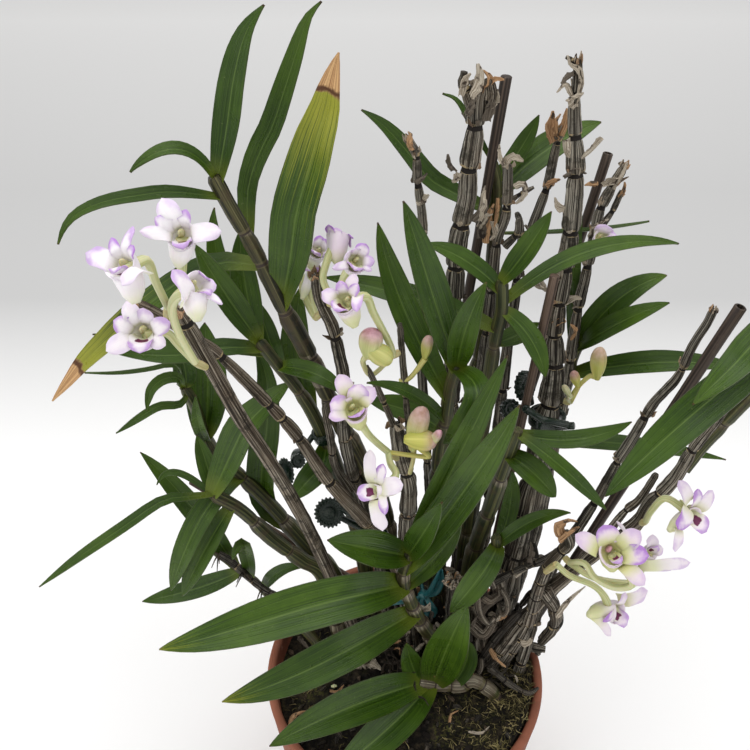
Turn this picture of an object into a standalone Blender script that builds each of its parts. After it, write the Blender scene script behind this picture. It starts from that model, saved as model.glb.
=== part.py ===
# Dendrobium orchid: old jointed canes, leafy canes and flower sprays standing in a
# terracotta pot of bark mix, with stakes, plastic clips and a tie.
# Frame: origin at the centre of the pot's underside, +Z up, +X right, +Y to the back.
# Layout below is in millimetres; solids are written to the scene in metres.

import math

import bmesh
import bpy
from mathutils import Vector

# ---------------------------------------------------------------- driving dimensions (mm)
MM = 0.001
RIM_RADIUS = 70.0
POT_HEIGHT = 125.0
FOOT_RADIUS = 58.0
WALL = 4.5
FLOOR = 7.0
SEGMENTS = 32
DRAIN_RADIUS = 4.5
DRAIN_RING = 30.0
SOIL_LEVEL = 117.0
SOIL_TILT = 0.045
SOIL_RINGS = 4
CLEARANCE = 0.4
SCRAP_SEAT = 1.2
LEAF_THICKNESS = 1.3
LEAF_FOLD = 0.22
PETAL_THICKNESS = 1.2
CANE_SIDES = 6
BRANCH_SIDES = 5
NODE_PINCH = 0.86
PEDUNCLE_RADIUS = 1.3
STALK_RADIUS = 1.1

# ---------------------------------------------------------------- colours
OLD_CANE = (0.20, 0.18, 0.13)
LEAF_GREEN = (0.06, 0.16, 0.04)
PETAL_WHITE = (0.85, 0.80, 0.84)
STAKE_BROWN = (0.11, 0.07, 0.05)

CURVES = {}
BURIED = []


# ---------------------------------------------------------------- curves and plain solids
def smooth_route(points, per_span=6):
    """Catmull-Rom curve through the design points."""
    pts = [Vector(p) for p in points]
    ends = [2 * pts[0] - pts[1]] + pts + [2 * pts[-1] - pts[-2]]
    curve = []
    for i in range(1, len(ends) - 2):
        a, b, c, d = ends[i - 1:i + 3]
        for k in range(per_span):
            t = k / per_span
            curve.append(0.5 * (2 * b + (c - a) * t + (2 * a - 5 * b + 4 * c - d) * t * t
                                + (3 * b - a - 3 * c + d) * t ** 3))
    curve.append(pts[-1])
    return curve


def length_of(curve):
    return sum((b - a).length for a, b in zip(curve, curve[1:]))


def along(curve, fractions):
    """Points of a polyline at fractions of its length."""
    reach = [0.0]
    for a, b in zip(curve, curve[1:]):
        reach.append(reach[-1] + (b - a).length)
    found = []
    for f in fractions:
        want = f * reach[-1]
        i = 1
        while i < len(reach) - 1 and reach[i] < want:
            i += 1
        step = reach[i] - reach[i - 1]
        found.append(curve[i - 1].lerp(curve[i], (want - reach[i - 1]) / step))
    return found


def tube(spine, radii, sides):
    """Closed tube with its own radius at each point of the spine."""
    verts = []
    faces = []
    tangent = (spine[1] - spine[0]).normalized()
    side = tangent.orthogonal().normalized()
    for i, centre in enumerate(spine):
        before = spine[max(i - 1, 0)]
        after = spine[min(i + 1, len(spine) - 1)]
        turned = (after - before).normalized()
        side = tangent.rotation_difference(turned) @ side
        side = (side - turned * side.dot(turned)).normalized()
        tangent = turned
        other = tangent.cross(side)
        for k in range(sides):
            angle = 2 * math.pi * k / sides
            verts.append(centre + (side * math.cos(angle) + other * math.sin(angle)) * radii[i])
    for i in range(len(spine) - 1):
        for k in range(sides):
            a = i * sides + k
            b = i * sides + (k + 1) % sides
            faces.append((a, b, b + sides, a + sides))
    faces.append(tuple(reversed(range(sides))))
    faces.append(tuple(range((len(spine) - 1) * sides, len(spine) * sides)))
    return verts, faces


def turned(profile, centre, axis, sides):
    """Closed loop of (radius, height) points turned round an axis."""
    axis = Vector(axis).normalized()
    side = axis.orthogonal().normalized()
    other = axis.cross(side)
    verts = []
    for radius, height in profile:
        for k in range(sides):
            angle = 2 * math.pi * k / sides
            out = side * math.cos(angle) + other * math.sin(angle)
            verts.append(Vector(centre) + axis * height + out * radius)
    rows = len(profile)
    faces = []
    for i in range(rows):
        for k in range(sides):
            a = i * sides + k
            b = i * sides + (k + 1) % sides
            c = ((i + 1) % rows) * sides + (k + 1) % sides
            d = ((i + 1) % rows) * sides + k
            faces.append((a, b, c, d))
    return verts, faces


def ring(centre, axis, inner, outer, height, sides=12):
    """Flat-sided ring round an axis."""
    half = height / 2
    profile = ((outer, -half), (outer, half), (inner, half), (inner, -half))
    return turned(profile, centre, axis, sides)


def toothed_disc(centre, axis, radius, thickness, teeth, stretch=1.0):
    """Thick disc whose edge has square teeth; stretch lengthens it one way."""
    axis = Vector(axis).normalized()
    up = Vector((0, 0, 1)) - axis * axis.z
    up.normalize()
    across = up.cross(axis)
    verts = []
    count = 2 * teeth
    for height in (-thickness / 2, thickness / 2):
        for k in range(count):
            angle = 2 * math.pi * (k + 0.5) / count
            reach = radius if k % 2 == 0 else radius * 0.87
            out = across * math.cos(angle) + up * math.sin(angle) * stretch
            verts.append(Vector(centre) + axis * height + out * reach)
    faces = [tuple(range(count)), tuple(reversed(range(count, 2 * count)))]
    for k in range(count):
        b = (k + 1) % count
        faces.append((k, k + count, b + count, b))
    return verts, faces


def rod(a, b, radius, sides=5):
    return tube([Vector(a), Vector(b)], [radius, radius], sides)


# ---------------------------------------------------------------- leaves, flowers, buds
# width of a leaf and of a petal at stations along it, as shares of the full width
LEAF_STATIONS = ((0.0, 0.26), (0.16, 0.76), (0.46, 1.0), (0.79, 0.76))
PETAL_STATIONS = ((0.0, 0.30), (0.42, 0.92), (0.78, 0.84))
LEAF_FACE = Vector((0.0, -0.55, 0.83))


def blade(root, middle, tip, width, roll=0.0, thick=LEAF_THICKNESS, fold=LEAF_FOLD,
          face=LEAF_FACE):
    """Arched leaf blade: a V across, thickest at the rib, ending in a point."""
    root = Vector(root)
    middle = Vector(middle)
    tip = Vector(tip)
    bend = 2 * middle - 0.5 * (root + tip)
    turn = math.radians(roll)
    verts = []
    for f, share in LEAF_STATIONS:
        centre = root * (1 - f) ** 2 + bend * 2 * f * (1 - f) + tip * f * f
        run = ((bend - root) * (1 - f) + (tip - bend) * f).normalized()
        flat = run.cross(face).normalized()
        rise = flat.cross(run)
        side = flat * math.cos(turn) + rise * math.sin(turn)
        up = rise * math.cos(turn) - flat * math.sin(turn)
        half = width / 2 * share
        lift = up * half * fold
        verts.append(centre - side * half + lift)
        verts.append(centre + up * thick / 2)
        verts.append(centre + side * half + lift)
        verts.append(centre - up * thick / 2)
    verts.append(tip)
    faces = [(0, 3, 1), (3, 2, 1)]
    rows = len(LEAF_STATIONS)
    for i in range(rows - 1):
        for k in range(4):
            p = 4 * i + k
            q = 4 * i + (k + 1) % 4
            if k in (0, 3):
                faces.append((p, q, q + 4))
                faces.append((p, q + 4, p + 4))
            else:
                faces.append((p, q, p + 4))
                faces.append((q, q + 4, p + 4))
    a = 4 * (rows - 1)
    end = 4 * rows
    faces.append((a, a + 1, end))
    faces.append((a + 1, a + 2, end))
    faces.append((a + 2, a + 3, end))
    faces.append((a + 3, a, end))
    return verts, faces


def petal(root, middle, tip, width, face, fold=0.18):
    """Thin petal: two edges and a back ridge, from root to tip through middle."""
    bend = 2 * middle - 0.5 * (root + tip)
    verts = []
    for f, share in PETAL_STATIONS:
        centre = root * (1 - f) ** 2 + bend * 2 * f * (1 - f) + tip * f * f
        run = ((bend - root) * (1 - f) + (tip - bend) * f).normalized()
        side = run.cross(face).normalized()
        up = side.cross(run)
        half = width / 2 * share
        verts.append(centre - side * half + up * half * fold)
        verts.append(centre + side * half + up * half * fold)
        verts.append(centre - up * PETAL_THICKNESS)
    verts.append(tip)
    faces = [(0, 2, 1)]
    rows = len(PETAL_STATIONS)
    for i in range(rows - 1):
        for k in range(3):
            p = 3 * i + k
            q = 3 * i + (k + 1) % 3
            faces.append((p, q, q + 3, p + 3))
    a = 3 * (rows - 1)
    for k in range(3):
        faces.append((a + k, a + (k + 1) % 3, 3 * rows))
    return verts, faces


# turn from the crown, reach, width, forward place of the root and forward lift of the tip,
# for the three sepals behind and the two petals in front, as shares of the span
PETALS = ((0, 0.52, 0.29, -0.06, 0.05), (122, 0.54, 0.33, -0.06, 0.02), (-122, 0.54, 0.33, -0.06, 0.02),
          (62, 0.48, 0.36, 0.05, 0.16), (-62, 0.48, 0.36, 0.05, 0.16))


def flower_parts(centre, facing, crown, span):
    """Five petals and sepals, a folded lip and a rounded chin round one throat."""
    centre = Vector(centre)
    out = Vector(facing).normalized()
    up = Vector(crown)
    up = (up - out * up.dot(out)).normalized()
    right = up.cross(out)

    def spot(side, rise, forward):
        return centre + (right * side + up * rise + out * forward) * span

    parts = []
    for degrees, reach, wide, start, lift in PETALS:
        s = math.sin(math.radians(degrees))
        c = math.cos(math.radians(degrees))
        root = spot(s * 0.06, c * 0.06, start)
        middle = spot(s * reach * 0.55, c * reach * 0.55, start * 0.4 + lift * 0.6 + 0.03)
        tip = spot(s * reach, c * reach, lift)
        parts.append(petal(root, middle, tip, wide * span, out))
    parts.append(petal(spot(0, -0.05, 0.08), spot(0, -0.13, 0.25), spot(0, -0.30, 0.36),
                       0.32 * span, up + out * 0.6, 0.5))
    chin = [spot(0, 0.01, 0.14), spot(0, -0.02, -0.08), spot(0, -0.34, -0.22)]
    parts.append(tube(chin, [0.09 * span, 0.14 * span, 0.05 * span], 4))
    return parts


def bud_part(root, tip, width):
    root = Vector(root)
    tip = Vector(tip)
    spine = [root.lerp(tip, f) for f in (0.0, 0.3, 0.7, 1.0)]
    return tube(spine, [width * 0.2, width * 0.42, width * 0.5, width * 0.18], 6)


# ---------------------------------------------------------------- scene objects
def clear_scene():
    for old in list(bpy.data.objects):
        bpy.data.objects.remove(old, do_unlink=True)


def material(name, colour, roughness=0.6):
    made = bpy.data.materials.new(name)
    made.use_nodes = True
    shader = made.node_tree.nodes["Principled BSDF"]
    shader.inputs["Base Color"].default_value = (*colour, 1.0)
    shader.inputs["Roughness"].default_value = roughness
    made.diffuse_color = (*colour, 1.0)
    return made


def solid(name, shape):
    """Mesh object, in metres, of one closed list of corners and faces."""
    verts, faces = shape
    mesh = bpy.data.meshes.new(name)
    mesh.from_pydata([tuple(Vector(v) * MM) for v in verts], [], faces)
    made = bpy.data.objects.new(name, mesh)
    bpy.context.scene.collection.objects.link(made)
    shaped = bmesh.new()
    shaped.from_mesh(mesh)
    bmesh.ops.recalc_face_normals(shaped, faces=shaped.faces)
    shaped.to_mesh(mesh)
    shaped.free()
    return made


def combine(target, shapes, operation):
    """One Boolean of the target with all the shapes together, applied."""
    group = bpy.data.collections.new(target.name + "_operands")
    bpy.context.scene.collection.children.link(group)
    for index, shape in enumerate(shapes):
        part = solid("%s_operand_%d" % (target.name, index), shape)
        bpy.context.scene.collection.objects.unlink(part)
        group.objects.link(part)
    cut = target.modifiers.new("combine", 'BOOLEAN')
    cut.operand_type = 'COLLECTION'
    cut.collection = group
    cut.operation = operation
    cut.solver = 'EXACT'
    bpy.ops.object.select_all(action='DESELECT')
    bpy.context.view_layer.objects.active = target
    target.select_set(True)
    bpy.ops.object.modifier_apply(modifier=cut.name)
    for part in list(group.objects):
        bpy.data.objects.remove(part, do_unlink=True)
    bpy.data.collections.remove(group)


def signed_volume(faces):
    total = 0.0
    for face in faces:
        first = face.verts[0].co
        for a, b in zip(face.verts[1:], face.verts[2:]):
            total += first.dot(a.co.cross(b.co))
    return total


def keep_one_body(target):
    """Keeps the outer shell; a sealed hollow is filled and a loose scrap dropped."""
    shaped = bmesh.new()
    shaped.from_mesh(target.data)
    bmesh.ops.remove_doubles(shaped, verts=shaped.verts, dist=0.002 * MM)
    bmesh.ops.dissolve_degenerate(shaped, edges=shaped.edges, dist=0.002 * MM)
    bmesh.ops.triangulate(shaped, faces=shaped.faces)
    left = set(shaped.faces)
    shells = []
    while left:
        front = [left.pop()]
        shell = []
        while front:
            face = front.pop()
            shell.append(face)
            for edge in face.edges:
                if len(edge.link_faces) != 2:
                    continue
                for beside in edge.link_faces:
                    if beside in left:
                        left.remove(beside)
                        front.append(beside)
        shells.append(shell)
    shells.sort(key=signed_volume)
    spare = [face for shell in shells[:-1] for face in shell]
    if spare:
        bmesh.ops.delete(shaped, geom=spare, context='FACES')
    shaped.to_mesh(target.data)
    shaped.free()


def finish(target, colour, roughness=0.6):
    """One outward body with the node's own material."""
    keep_one_body(target)
    target.data.materials.clear()
    target.data.materials.append(material(target.name + "_surface", colour, roughness))
    return target


# ---------------------------------------------------------------- pot and soil
def wall_radius(height):
    """Outside radius of the pot at a height."""
    return FOOT_RADIUS + (RIM_RADIUS - FOOT_RADIUS) * height / POT_HEIGHT


def pot():
    """Tapered terracotta pot, plain rounded lip, three drain holes in the floor."""
    profile = ((0.0, 0.0), (FOOT_RADIUS - 2.0, 0.0), (FOOT_RADIUS, 2.0),
               (RIM_RADIUS - 0.6, POT_HEIGHT - 3.0),
               (RIM_RADIUS, POT_HEIGHT - 1.5), (RIM_RADIUS - 1.5, POT_HEIGHT),
               (RIM_RADIUS - WALL + 1.0, POT_HEIGHT), (RIM_RADIUS - WALL, POT_HEIGHT - 1.5),
               (wall_radius(FLOOR) - WALL, FLOOR),
               (0.0, FLOOR))
    verts = []
    faces = []
    rows = []
    for radius, height in profile:
        if radius == 0.0:
            rows.append([len(verts)] * SEGMENTS)
            verts.append(Vector((0, 0, height)))
            continue
        row = []
        for k in range(SEGMENTS):
            angle = 2 * math.pi * k / SEGMENTS
            row.append(len(verts))
            verts.append(Vector((radius * math.cos(angle), radius * math.sin(angle), height)))
        rows.append(row)
    for lower, upper in zip(rows, rows[1:]):
        for k in range(SEGMENTS):
            n = (k + 1) % SEGMENTS
            corners = [lower[k], lower[n], upper[n], upper[k]]
            faces.append(tuple(dict.fromkeys(corners)))
    made = solid("pot", (verts, faces))
    drains = []
    for k in range(3):
        angle = math.radians(90 + 120 * k)
        x = DRAIN_RING * math.cos(angle)
        y = DRAIN_RING * math.sin(angle)
        drains.append(rod((x, y, -2), (x, y, FLOOR + 2), DRAIN_RADIUS, 10))
    combine(made, drains, 'DIFFERENCE')
    return finish(made, (0.55, 0.27, 0.16), 0.85)


def soil_height(x, y):
    """Lumpy top of the mix, a little higher on the right."""
    lumps = 0.7 * math.sin(0.31 * x + 1.3) * math.cos(0.27 * y) + 0.4 * math.sin(0.13 * x - 0.41 * y)
    return SOIL_LEVEL + SOIL_TILT * x + lumps


def soil():
    """Bark mix filling the pot, with a plain hole for every stem and stake."""
    gap = 0.3
    verts = [Vector((0, 0, FLOOR + gap))]
    faces = []
    for height in (FLOOR + gap, 112.0):
        radius = wall_radius(height) - WALL - gap
        for k in range(SEGMENTS):
            angle = 2 * math.pi * k / SEGMENTS
            verts.append(Vector((radius * math.cos(angle), radius * math.sin(angle), height)))
    edge = radius
    for r in range(SOIL_RINGS, 0, -1):
        for k in range(SEGMENTS):
            angle = 2 * math.pi * k / SEGMENTS
            x = edge * r / SOIL_RINGS * math.cos(angle)
            y = edge * r / SOIL_RINGS * math.sin(angle)
            verts.append(Vector((x, y, soil_height(x, y))))
    verts.append(Vector((0, 0, soil_height(0, 0))))
    rows = SOIL_RINGS + 2
    for k in range(SEGMENTS):
        n = (k + 1) % SEGMENTS
        faces.append((0, 1 + n, 1 + k))
        faces.append((1 + (rows - 1) * SEGMENTS + k, 1 + (rows - 1) * SEGMENTS + n, len(verts) - 1))
        for r in range(rows - 1):
            a = 1 + r * SEGMENTS
            b = a + SEGMENTS
            faces.append((a + k, a + n, b + n))
            faces.append((a + k, b + n, b + k))
    made = solid("soil", (verts, faces))
    combine(made, BURIED, 'DIFFERENCE')
    return finish(made, (0.03, 0.025, 0.02), 0.95)


def bury(spine, radii, sides):
    """Keeps the buried run of a stem, widened by the clearance, as a hole in the soil."""
    low = [i for i, point in enumerate(spine) if point.z < 124.0]
    if not low:
        return
    first = max(low[0] - 1, 0)
    last = min(low[-1] + 1, len(spine) - 1)
    run = [point.copy() for point in spine[first:last + 1]]
    wide = [r + CLEARANCE for r in radii[first:last + 1]]
    if first == 0:
        run[0] += (run[0] - run[1]).normalized() * 0.5
    if last == len(spine) - 1:
        run[-1] += (run[-1] - run[-2]).normalized() * 0.5
    BURIED.append(tube(run, wide, sides))


# ---------------------------------------------------------------- canes
def width_at(widths, f):
    """Diameter at a fraction of the length, from diameters evenly spaced foot to tip."""
    place = f * (len(widths) - 1)
    i = min(int(place), len(widths) - 2)
    return widths[i] + (widths[i + 1] - widths[i]) * (place - i)


def cane_part(route, widths, internode, sides):
    """Jointed cane, narrow at every node and fuller between."""
    curve = smooth_route(route)
    joints = max(2, round(length_of(curve) / internode))
    fractions = []
    radii = []
    for j in range(joints):
        for part, full in ((0.0, NODE_PINCH), (0.55, 1.0)):
            f = (j + part) / joints
            fractions.append(f)
            radii.append(width_at(widths, f) / 2 * full)
    fractions.append(1.0)
    radii.append(widths[-1] / 2 * NODE_PINCH)
    spine = along(curve, fractions)
    bury(spine, radii, sides)
    return tube(spine, radii, sides)


def old_cane(name, widths, internode, route, branches=()):
    """Bare cane and the dead stubs on it, as one body."""
    CURVES[name] = (smooth_route(route, 12), widths)
    made = solid(name, cane_part(route, widths, internode, CANE_SIDES))
    stubs = [cane_part(way, wide, 28, BRANCH_SIDES) for wide, way in branches]
    if stubs:
        combine(made, stubs, 'UNION')
    return finish(made, OLD_CANE, 0.7)


def leafy_cane(name, widths, route, leaves):
    """Living cane with its leaves; a leaf is its place on the cane, middle, tip, width, roll."""
    curve = smooth_route(route, 16)
    CURVES[name] = (curve, widths)
    made = solid(name, cane_part(route, widths, 36, BRANCH_SIDES))
    blades = []
    for at, middle, end, width, roll in leaves:
        root = along(curve, [at])[0]
        blades.append(blade(root, middle, end, width, roll))
    combine(made, blades, 'UNION')
    return finish(made, LEAF_GREEN, 0.4)


def stake(name, diameter, foot, top):
    """Straight round stick pushed into the mix."""
    spine = [Vector(foot), Vector(foot).lerp(Vector(top), 0.12), Vector(top)]
    radii = [diameter / 2] * 3
    bury(spine, radii, 8)
    made = solid(name, tube(spine, radii, 8))
    return finish(made, STAKE_BROWN, 0.7)


# ---------------------------------------------------------------- flower sprays
def stalk_part(way, radius):
    return tube([Vector(p) for p in way], [radius] * len(way), 4)


def spray(name, base, joint, flowers=(), buds=()):
    """Flowers and buds on thin stalks that meet at one short stem beside a cane.

    flowers: centre, facing, crown direction, span, stalk back to the joint
    buds: root, tip, width, stalk back to the joint
    """
    made = solid(name, tube([Vector(base), Vector(joint)], [PEDUNCLE_RADIUS, PEDUNCLE_RADIUS], 5))
    parts = []
    for centre, facing, crown, span, way in flowers:
        parts += flower_parts(centre, facing, crown, span)
        parts.append(stalk_part(way, STALK_RADIUS))
    for root, tip, width, way in buds:
        parts.append(bud_part(root, tip, width))
        parts.append(stalk_part(way, STALK_RADIUS - 0.1))
    combine(made, parts, 'UNION')
    return finish(made, PETAL_WHITE, 0.45)


# ---------------------------------------------------------------- old bare canes
def old_canes():
    """Leafless jointed canes, from foot to tip; widths are diameters."""
    old_cane("old_cane_thin_back", (6, 3.4), 28, [
        (5, 42, 105), (5, 42, 122), (12, 38, 191), (7, 32, 260), (3, 27, 316), (3, 24, 348),
        (2, 23, 363), (0, 22, 376), (-1, 22, 386), (-4, 22, 392)])
    old_cane("old_cane_thick_back", (9.5, 7.4), 27, [
        (16, 36, 105), (16, 36, 122), (18, 34, 195), (18, 30, 273), (16, 27, 334), (16, 26, 352),
        (18, 25, 368), (18, 24, 381), (19, 24, 394), (19, 24, 404), (20, 24, 409)], [
        ((4, 3), [
            (17, 24, 405), (14, 24, 412)])])
    old_cane("old_cane_slender_back", (7.5, 4), 28, [
        (29, 42, 105), (29, 42, 122), (28, 38, 205), (30, 33, 271), (31, 31, 313), (31, 30, 337),
        (31, 29, 350), (33, 28, 360), (33, 28, 369), (32, 28, 380)], [
        ((2.6, 1.6), [
            (34, 28, 366), (37, 27, 369), (42, 27, 372)])])
    old_cane("old_cane_forked_back", (8, 3.4), 28, [
        (38, 39, 105), (38, 39, 122), (41, 38, 191), (41, 36, 251), (41, 36, 300), (42, 37, 319),
        (42, 38, 336), (45, 39, 347), (48, 40, 359), (50, 41, 367), (51, 42, 376), (52, 42, 388)], [
        ((3.6, 2.6), [
            (42, 38, 338), (41, 38, 351), (39, 38, 357)])])
    old_cane("old_cane_frilled_back", (7.6, 4.2), 27, [
        (53, 26, 105), (53, 26, 122), (63, 28, 187), (66, 31, 237), (68, 34, 281), (69, 39, 313),
        (70, 40, 327), (71, 42, 339), (72, 44, 347), (73, 46, 355), (76, 47, 363), (80, 48, 372)], [
        ((3, 2.8), [
            (74, 46, 347), (79, 50, 352), (82, 52, 360)])])
    old_cane("old_cane_right_thin", (7, 3.4), 28, [
        (58, -3, 105), (58, -3, 122), (68, 6, 191), (77, 8, 217), (83, 8, 237), (87, 6, 259),
        (91, 5, 275), (95, 4, 292), (101, 3, 305), (103, 2, 320), (106, 2, 330), (107, 2, 336)])
    old_cane("old_cane_left_rod", (7.5, 4.2), 30, [
        (-20, 6, 105), (-20, 6, 122), (-36, 2, 192), (-46, -3, 235), (-56, -9, 271), (-65, -14, 299),
        (-71, -18, 322), (-78, -24, 351)])
    old_cane("old_cane_left_jointed", (8.5, 3), 27, [
        (5, 24, 105), (5, 24, 122), (-5, 14, 185), (-18, 9, 218), (-35, 4, 250), (-46, 0, 278),
        (-56, -4, 298), (-71, -7, 322), (-79, -9, 331), (-89, -11, 342), (-96, -12, 347)])
    old_cane("old_cane_mid_stub", (7.5, 5), 27, [
        (-7, 26, 105), (-7, 26, 122), (-16, 21, 202), (-25, 16, 244), (-28, 11, 272), (-27, 9, 297),
        (-29, 8, 314), (-31, 7, 326), (-35, 6, 338), (-36, 6, 348)], [
        ((4.5, 3), [
            (-26, 12, 237), (-32, 8, 255), (-33, 4, 273), (-35, 2, 293)])])
    old_cane("old_cane_mid_brown", (11, 6.5), 27, [
        (5, 10, 105), (5, 10, 122), (0, 4, 186), (-1, 0, 224), (-1, -3, 254), (-5, -5, 275),
        (-7, -6, 289)], [
        ((3, 2.4), [
            (-6, -6, 283), (-9, -6, 292), (-14, -7, 307), (-18, -8, 318)]),
        ((3, 2.6), [
            (-1, -4, 268), (-2, -3, 286), (-4, 0, 308), (-6, 2, 330)])])
    old_cane("old_canes_right", (13.5, 13.5, 13, 12.5, 12, 8.5, 7.4, 7.2, 3), 30, [
        (45, 13, 105), (45, 13, 122), (49, 14, 162), (54, 17, 206), (58, 20, 264), (59, 22, 290),
        (57, 24, 313), (57, 25, 326), (58, 27, 343), (58, 28, 355), (57, 29, 374), (55, 30, 388),
        (53, 30, 401), (53, 30, 407), (52, 30, 415)], [
        ((2.4, 1.8), [
            (52, 30, 413), (50, 30, 415), (48, 30, 416)]),
        ((6, 5), [
            (47, 11, 128), (60, 7, 132), (72, 4, 132)]),
        ((6.5, 6), [
            (50, 14, 177), (57, 13, 187), (66, 12, 191)]),
        ((9, 4.5), [
            (44, 9, 117), (46, 0, 131), (62, -5, 183), (77, -8, 212), (94, -11, 240), (97, -12, 253),
            (103, -13, 266), (107, -14, 285), (111, -15, 298), (113, -16, 309)]),
        ((5, 3), [
            (72, -7, 205), (82, -8, 226), (89, -8, 243), (94, -8, 251), (98, -8, 265)]),
        ((7, 5), [
            (50, -2, 131), (57, -5, 160), (58, -8, 178), (58, -11, 197), (59, -13, 213),
            (63, -15, 226), (66, -16, 233)]),
        ((8, 5.5), [
            (61, -8, 195), (68, -7, 181), (71, -4, 163), (67, -2, 146)]),
        ((13, 9), [
            (42, 5, 111), (39, 3, 141), (34, 2, 166), (30, 2, 183), (35, 4, 192), (42, 5, 188),
            (45, 6, 175)]),
        ((10, 8), [
            (43, 7, 127), (46, 4, 149), (48, 4, 167)])])


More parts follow.
